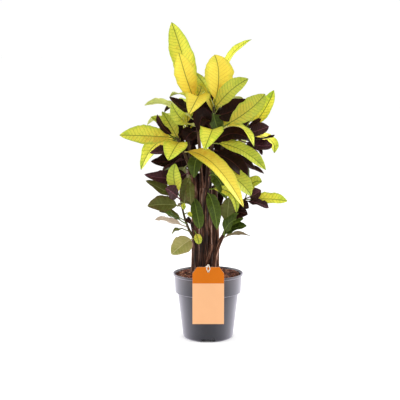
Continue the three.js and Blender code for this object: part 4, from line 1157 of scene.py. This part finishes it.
soil_mesh = smoothed(turned(soil_profile(), SOIL["sides"], lumps))
print("the soil is", round(2 * CHIPS["Rim"] / MM), "mm across at its top")


# %% The mulch tree
def mulch_tree():
    """The tree that strews bark chips over the top of the soil."""
    tree, put, wanted = new_tree("bark mulch", {**CHIPS, "Canes": None, "Finish": ""})
    upright = put(SPLIT, None, [put("GeometryNodeInputNormal")]).outputs["Z"]
    scatter = {"Mesh": wanted["Geometry"], "Selection": put(MATH, "GREATER_THAN", [upright, LEVEL_TOP])}
    scatter.update({"Distance Min": wanted["Apart"], "Density Max": 3e5, "Seed": wanted["Seed"]})
    points = put("GeometryNodeDistributePointsOnFaces", {"distribute_method": "POISSON"}, scatter)

    # Canes stand in some places, and near the wall the chips are small.
    canes = put("GeometryNodeObjectInfo", None, [wanted["Canes"]]).outputs["Geometry"]
    near = put("GeometryNodeProximity", {"target_element": "POINTS"}, [canes]).outputs["Distance"]
    flat = put(VECTOR, "MULTIPLY", [put("GeometryNodeInputPosition"), (1.0, 1.0, 0.0)])
    inward = put(MATH, "SUBTRACT", [wanted["Rim"], put(VECTOR, "LENGTH", [flat]).outputs["Value"]])
    taken = put(MATH, "LESS_THAN", [near, wanted["Clear of canes"]])
    beside = put(MATH, "LESS_THAN", [inward, BESIDE[0]])
    lost = put("FunctionNodeBooleanMath", "OR", [taken, beside])
    points = put("GeometryNodeDeleteGeometry", {"domain": "POINT"}, {"Geometry": points, "Selection": lost})
    room = put(RANGE, None, [inward, *BESIDE, 0.4, 1.0])

    size = put(RANDOM, VECTORS, {"Min": (0.5, 0.6, 0.6), "Max": (1.4, 1.3, 1.3), "Seed": 11})
    size = put(VECTOR, "SCALE", {0: size, "Scale": room})
    turn = put(RANDOM, VECTORS, {"Min": (-0.5, -0.4, 0.0), "Max": (0.5, 0.4, 2 * math.pi), "Seed": 12})
    shade = put(RANDOM, NUMBERS, {"Min": 0.15, "Max": 0.98, "Seed": 13})
    block = put(COMBINE, None, [wanted["Length"], wanted["Width"], wanted["Thickness"]])
    chip = put("GeometryNodeMeshCube", None, {"Size": block, "Vertices X": 3})
    chips = put(COPIES, None, {"Points": points, "Instance": chip, "Rotation": turn, "Scale": size})
    kept = {"Geometry": chips, "Name": "shade", "Value": shade}
    chips = put(STORE, {**NUMBERS, "domain": "INSTANCE"}, kept)
    chips = put(REAL, None, [chips])

    # Noise breaks the blocks' corners.
    broken = put(NOISE, None, {"Scale": 1 / CRUMB, "Detail": 1.0}).outputs["Color"]
    broken = put(VECTOR, "SUBTRACT", [broken, (0.5, 0.5, 0.5)])
    broken = put(VECTOR, "SCALE", {0: broken, "Scale": put(MATH, "MULTIPLY", [wanted["Ragged"], 2.0])})
    chips = put(MOVE, None, {"Geometry": chips, "Offset": broken})
    soil = put("GeometryNodeJoinGeometry", None, [chips])
    tree.links.new(wanted["Geometry"], soil.inputs[0])
    end_tree(put, soil, wanted["Finish"])
    return tree


roots = bpy.data.meshes.new("cane roots")
_, root, middle, *_ = STEMS["stem_left"]["wood"][0]
share = (SOIL["edge"] - root[2]) / (middle[2] - root[2]) / 2  # how far up a cane the soil's top is
roots.from_pydata([on_wood(stem, "cane", share) * MM for stem in STEMS.values()], [], [])
canes = scratch(roots)
mesh = made_by(mulch_tree(), soil_mesh, {"Canes": canes, "Finish": mulch})
bpy.data.objects.remove(canes)
piece("soil_and_bark", mesh, "soil", "soil")

# %% [markdown]
# ## The card's finish
#
# The card is a hang tag of coated board, 0.8 mm thick, cut with two slanted corners. Its front is
# printed in flat orange over peach and has the low gloss of a machine varnish. The board shows at
# its cut edges and on its back: cream, dull and slightly fibrous.

# %% Printed board
PRINT_FOOT = 150  # height in mm at which the orange ends
PRINT_LINE = 1.6  # mm, how high its darker foot is


def card_finish():
    """Coated board with an orange and peach front."""
    finish, put = new_finish("varnished board")
    place = put(PLACE).outputs["Object"]
    height = put(SPLIT, None, [place]).outputs["Z"]
    printed = put(ATTRIBUTE, {"attribute_name": "printed"}).outputs["Fac"]
    fibre = put(NOISE, None, {"Vector": place, "Scale": 1 / (0.9 * MM), "Detail": 3.0, "Roughness": 0.6})
    cloud = put(NOISE, None, {"Vector": place, "Scale": 1 / (22 * MM), "Detail": 2.0})
    # Both printed colours are patchy and grow darker towards the card's foot.
    darker_low = put(RANGE, None, [height, 0.0, 200 * MM, -0.1, 0.1])
    patchy_darker_low = put(MATH, "MULTIPLY_ADD", [cloud, 0.3, darker_low])
    peach = put(MIX, COLOURS, {"Factor": patchy_darker_low, "A": "#e4ab7c", "B": "#eeb98a"})
    orange = put(MIX, COLOURS, {"Factor": patchy_darker_low, "A": "#c56602", "B": "#d37404"})
    line = put(RANGE, None, [height, PRINT_FOOT * MM, (PRINT_FOOT + PRINT_LINE) * MM])
    orange = put(MIX, COLOURS, {"Factor": line, "A": "#bd5c0a", "B": orange})
    above = put(MATH, "GREATER_THAN", [height, PRINT_FOOT * MM])
    front = put(MIX, COLOURS, {"Factor": above, "A": peach, "B": orange})
    board = put(MIX, COLOURS, {"Factor": fibre, "A": "#e2d2ba", "B": "#f6ecdc"})
    colour = put(MIX, COLOURS, {"Factor": printed, "A": board, "B": front})
    varnish = put(MATH, "MULTIPLY_ADD", [fibre, 0.12, 0.36])
    rough = put(RANGE, None, [printed, 0.0, 1.0, 0.85, varnish])
    dents = put(BUMP, None, {"Strength": 0.25, "Distance": 0.15 * MM, "Height": fibre})
    coat = {"Base Color": colour, "Roughness": rough, "IOR": 1.5, "Specular IOR Level": 0.15}
    end_finish(put, {**coat, "Normal": dents})
    return finish


board = card_finish()
print("the orange ends at", PRINT_FOOT, "mm")

# %% [markdown]
# ## The card
#
# A flat outline with a hole in it is filled, given its thickness, and its edges are broken by a
# hair, as a cutting die leaves them, so that they catch the light.

# %% The hang tag
CARD = {"width": 75, "height": 138, "bottom": 51.5, "thick": 0.8, "cut_wide": 11, "cut_high": 15}
CARD.update({"hole": 3.3, "hole_sides": 40, "hole_z": 179.5, "back": -POT["lip"] - GAP, "broken": 0.12})


def card_mesh():
    """The card in metres, upright, with a value for each face: 1 where it is printed."""
    half, top = CARD["width"] / 2, CARD["bottom"] + CARD["height"]
    slant, inset = top - CARD["cut_high"], half - CARD["cut_wide"]
    edge = [(-half, CARD["bottom"]), (half, CARD["bottom"]), (half, slant), (inset, top), (-inset, top)]
    turns = [2 * math.pi * k / CARD["hole_sides"] for k in range(CARD["hole_sides"])]
    hole = [(CARD["hole"] * math.cos(a), CARD["hole_z"] + CARD["hole"] * math.sin(a)) for a in turns]
    form = bmesh.new()
    lines = []
    for line in ([*edge, (-half, slant)], hole):
        corners = [form.verts.new((x * MM, CARD["back"] * MM, z * MM)) for x, z in line]
        lines += [form.edges.new(pair) for pair in zip(corners, corners[1:] + corners[:1])]
    bmesh.ops.triangle_fill(form, use_beauty=True, edges=lines)
    grown = bmesh.ops.extrude_face_region(form, geom=form.faces[:], use_keep_orig=True)
    front = [part for part in grown["geom"] if isinstance(part, bmesh.types.BMVert)]
    bmesh.ops.translate(form, vec=(0, -CARD["thick"] * MM, 0), verts=front)
    bmesh.ops.recalc_face_normals(form, faces=form.faces)
    rims = [edge for edge in form.edges if edge.calc_face_angle() > 1]  # in radians
    bmesh.ops.bevel(form, geom=rims, offset=CARD["broken"] * MM, segments=2, profile=0.5, affect="EDGES")
    mesh = bpy.data.meshes.new("card")
    form.to_mesh(mesh)
    form.free()
    printed = mesh.attributes.new("printed", "FLOAT", "FACE")
    for polygon in mesh.polygons:
        printed.data[polygon.index].value = float(polygon.normal.y < -0.9)
    return mesh


mesh = smoothed(card_mesh(), 50)
mesh.materials.append(board)
piece("hang_tag", mesh, "card", "tag")

# %% [markdown]
# ## The string
#
# The card hangs from a cotton string of three plies, 2.4 mm thick, spun and then twisted. Both its
# ends come through the card's hole, are knotted behind it and run round the front cane. A geometry
# tree sweeps three small circles along the route at once and turns them as they go, once for each
# lay, which is how a real string is made. The fine fluff of cotton is left to the finish.

# %% Cotton
def string_finish():
    """Spun cotton: matt, cream, with fine fibres along the plies."""
    finish, put = new_finish("twisted cotton")
    place = put(PLACE).outputs["Object"]
    fluff = put(NOISE, None, {"Vector": place, "Scale": 1 / (0.5 * MM), "Detail": 3.0, "Roughness": 0.7})
    colour = put(MIX, COLOURS, {"Factor": fluff, "A": "#d8cab8", "B": "#fbf4ea"})
    relief = put(BUMP, None, {"Strength": 0.6, "Distance": 0.15 * MM, "Height": fluff})
    fuzz = {"Sheen Weight": 0.3, "Sheen Roughness": 0.5}
    end_finish(put, {"Base Color": colour, "Roughness": 0.9, "Normal": relief, **fuzz})
    return finish


cotton = string_finish()
print("string finish:", cotton.name)

# %% The string's way
STRING = {"radius": 1.2, "teardrop": 3.8, "loop_z": 168, "slack": 0.45, "between": 0.1, "knot": 3.9}
OVER = CARD["bottom"] + CARD["height"] - CARD["hole_z"]  # from the hole to the card's top edge
FRONT = CARD["thick"] + STRING["radius"] + GAP
WAY = [  # how far aside in teardrops, in front of the card's back, and above the hole
    (0, -4, 0), (0, CARD["thick"] / 2, 0), (0.6, FRONT, 2.2), (1, FRONT, 6), (0.7, FRONT, OVER + 0.6),
    (0, 1, OVER + 4.4), (0, -9, OVER + 1.5),
]
LOOP = {"from": -4, "to": 96, "places": 6}  # round the front cane, in degrees from its side


def strand(side):
    """One strand in mm: out of the knot, through the hole, over the card's edge, round the cane."""
    _, root, _, end, thick, thin = STEMS["stem_front"]["wood"][0]
    share = (STRING["loop_z"] - root[2]) / (end[2] - root[2])
    centre = on_wood(STEMS["stem_front"], "cane", share)
    away = thick + (thin - thick) * share + GAP + STRING["radius"] + STRING["slack"]
    beside = STRING["radius"] + STRING["between"]
    way = [(side * (aside * STRING["teardrop"] or beside), CARD["back"] - front, CARD["hole_z"] + up)
           for aside, front, up in WAY]
    for i in range(LOOP["places"]):
        angle = math.radians(LOOP["from"] + (LOOP["to"] - LOOP["from"]) * i / (LOOP["places"] - 1))
        aside, back = side * away * math.cos(angle), away * math.sin(angle)
        way.append((centre.x + aside, centre.y + back, STRING["loop_z"]))
    return [Vector(place) for place in way]


def overhand(steps=36):
    """The knot behind the card in mm, as a closed line that passes over and under itself."""
    size = (STRING["knot"] - STRING["radius"]) / 3
    centre = Vector((0, CARD["back"] + GAP + STRING["knot"], CARD["hole_z"]))
    turns = [2 * math.pi * k / steps for k in range(steps)]
    return [centre + size * Vector((math.sin(a) + 2 * math.sin(2 * a), -math.sin(3 * a),
                                    math.cos(a) - 2 * math.cos(2 * a))) for a in turns]


ways = {"left": strand(-1), "right": strand(1), "knot": overhand()}
length = sum((b - a).length for way in ways.values() for a, b in zip(way, way[1:]))
print("the string is about", round(length), "mm long")

# %% The string tree
CORD = {"Step": 0.6 * MM, "Plies": 3, "Ply radius": 0.6 * MM, "Ply offset": 0.58 * MM, "Lay": 6 * MM}
PLY_SIDES = 7


def string_tree():
    """The tree that sweeps twisted plies along lines."""
    tree, put, wanted = new_tree("twisted string", {**CORD, "Finish": ""})
    way = put("GeometryNodeCurveSplineType", {"spline_type": "BEZIER"}, {"Curve": wanted["Geometry"]})
    way = put("GeometryNodeCurveSetHandles", {"handle_type": "AUTO"}, {"Curve": way})
    way = put("GeometryNodeResampleCurve", {"mode": "LENGTH"}, {"Curve": way, "Length": wanted["Step"]})
    run = put("GeometryNodeSplineParameter").outputs["Length"]
    twist = put(MATH, "MULTIPLY", [put(MATH, "DIVIDE", [run, wanted["Lay"]]), 2 * math.pi])
    way = put("GeometryNodeSetCurveTilt", None, {"Curve": way, "Tilt": twist})
    ply = put(CIRCLE, None, {"Resolution": PLY_SIDES, "Radius": wanted["Ply radius"]})
    ring = {"Vertices": wanted["Plies"], "Radius": wanted["Ply offset"]}
    middles = put("GeometryNodeMeshCircle", None, ring)
    plies = put(COPIES, None, {"Points": middles, "Instance": ply})
    plies = put(REAL, None, [plies])
    string = put(SWEEP, None, {"Curve": way, "Profile Curve": plies, "Fill Caps": True})
    string = put(SMOOTH, None, {"Geometry": string})
    end_tree(put, string, wanted["Finish"])
    return tree


lines = bpy.data.curves.new("string", "CURVE")
lines.dimensions = "3D"
for name, way in ways.items():
    line = lines.splines.new("POLY")
    line.points.add(len(way) - 1)
    line.use_cyclic_u = name == "knot"
    for point, place in zip(line.points, way):
        point.co = (*(place * MM), 1)
piece("cotton_string", made_by(string_tree(), lines, {"Finish": cotton}), "string", "tag_string")

# %% [markdown]
# ## Floor and light
#
# The plant stands on white seamless paper under an even white sky, as in a light tent, so the
# shadows are soft and the ground shows little else. Two large lamps stand beside and a little behind
# it. They draw the bright edges of the pot and light the thin leaves through.

# %% Floor, sky and lamps
PAPER_RADIUS = 30  # in metres, so that its edge is far out of the picture
AIM = Vector((0, 0, 0.3))  # where the lamps point, low in the leaves
LAMPS = {  # place and width in metres, power in watts
    "left": ((-2.2, 0.4, 0.7), 1.7, 60),
    "right": ((2.2, 0.4, 0.7), 1.7, 60),
}

bpy.ops.mesh.primitive_circle_add(vertices=64, radius=PAPER_RADIUS, fill_type="NGON")
floor = bpy.context.object
floor.name = "floor"
paper = bpy.data.materials.new("white seamless paper")
paper.use_nodes = True
paper.node_tree.nodes["Principled BSDF"].inputs["Base Color"].default_value = linear("#ffffff")
paper.node_tree.nodes["Principled BSDF"].inputs["Roughness"].default_value = 0.9
floor.data.materials.append(paper)

sky = bpy.data.worlds.new("white studio")
sky.use_nodes = True
sky.node_tree.nodes["Background"].inputs["Color"].default_value = linear("#ffffff")
sky.node_tree.nodes["Background"].inputs["Strength"].default_value = 1.0
bpy.context.scene.world = sky

for name, (place, size, watts) in LAMPS.items():
    light = bpy.data.lights.new(f"{name} softbox", "AREA")
    light.size = size
    light.energy = watts
    lamp = bpy.data.objects.new(light.name, light)
    lamp.location = place
    lamp.rotation_euler = (AIM - lamp.location).to_track_quat("-Z", "Y").to_euler()
    bpy.context.scene.collection.objects.link(lamp)

view = bpy.context.scene.view_settings
view.view_transform = "Standard"
view.exposure = 0.02
print("lamps:", sorted(LAMPS))
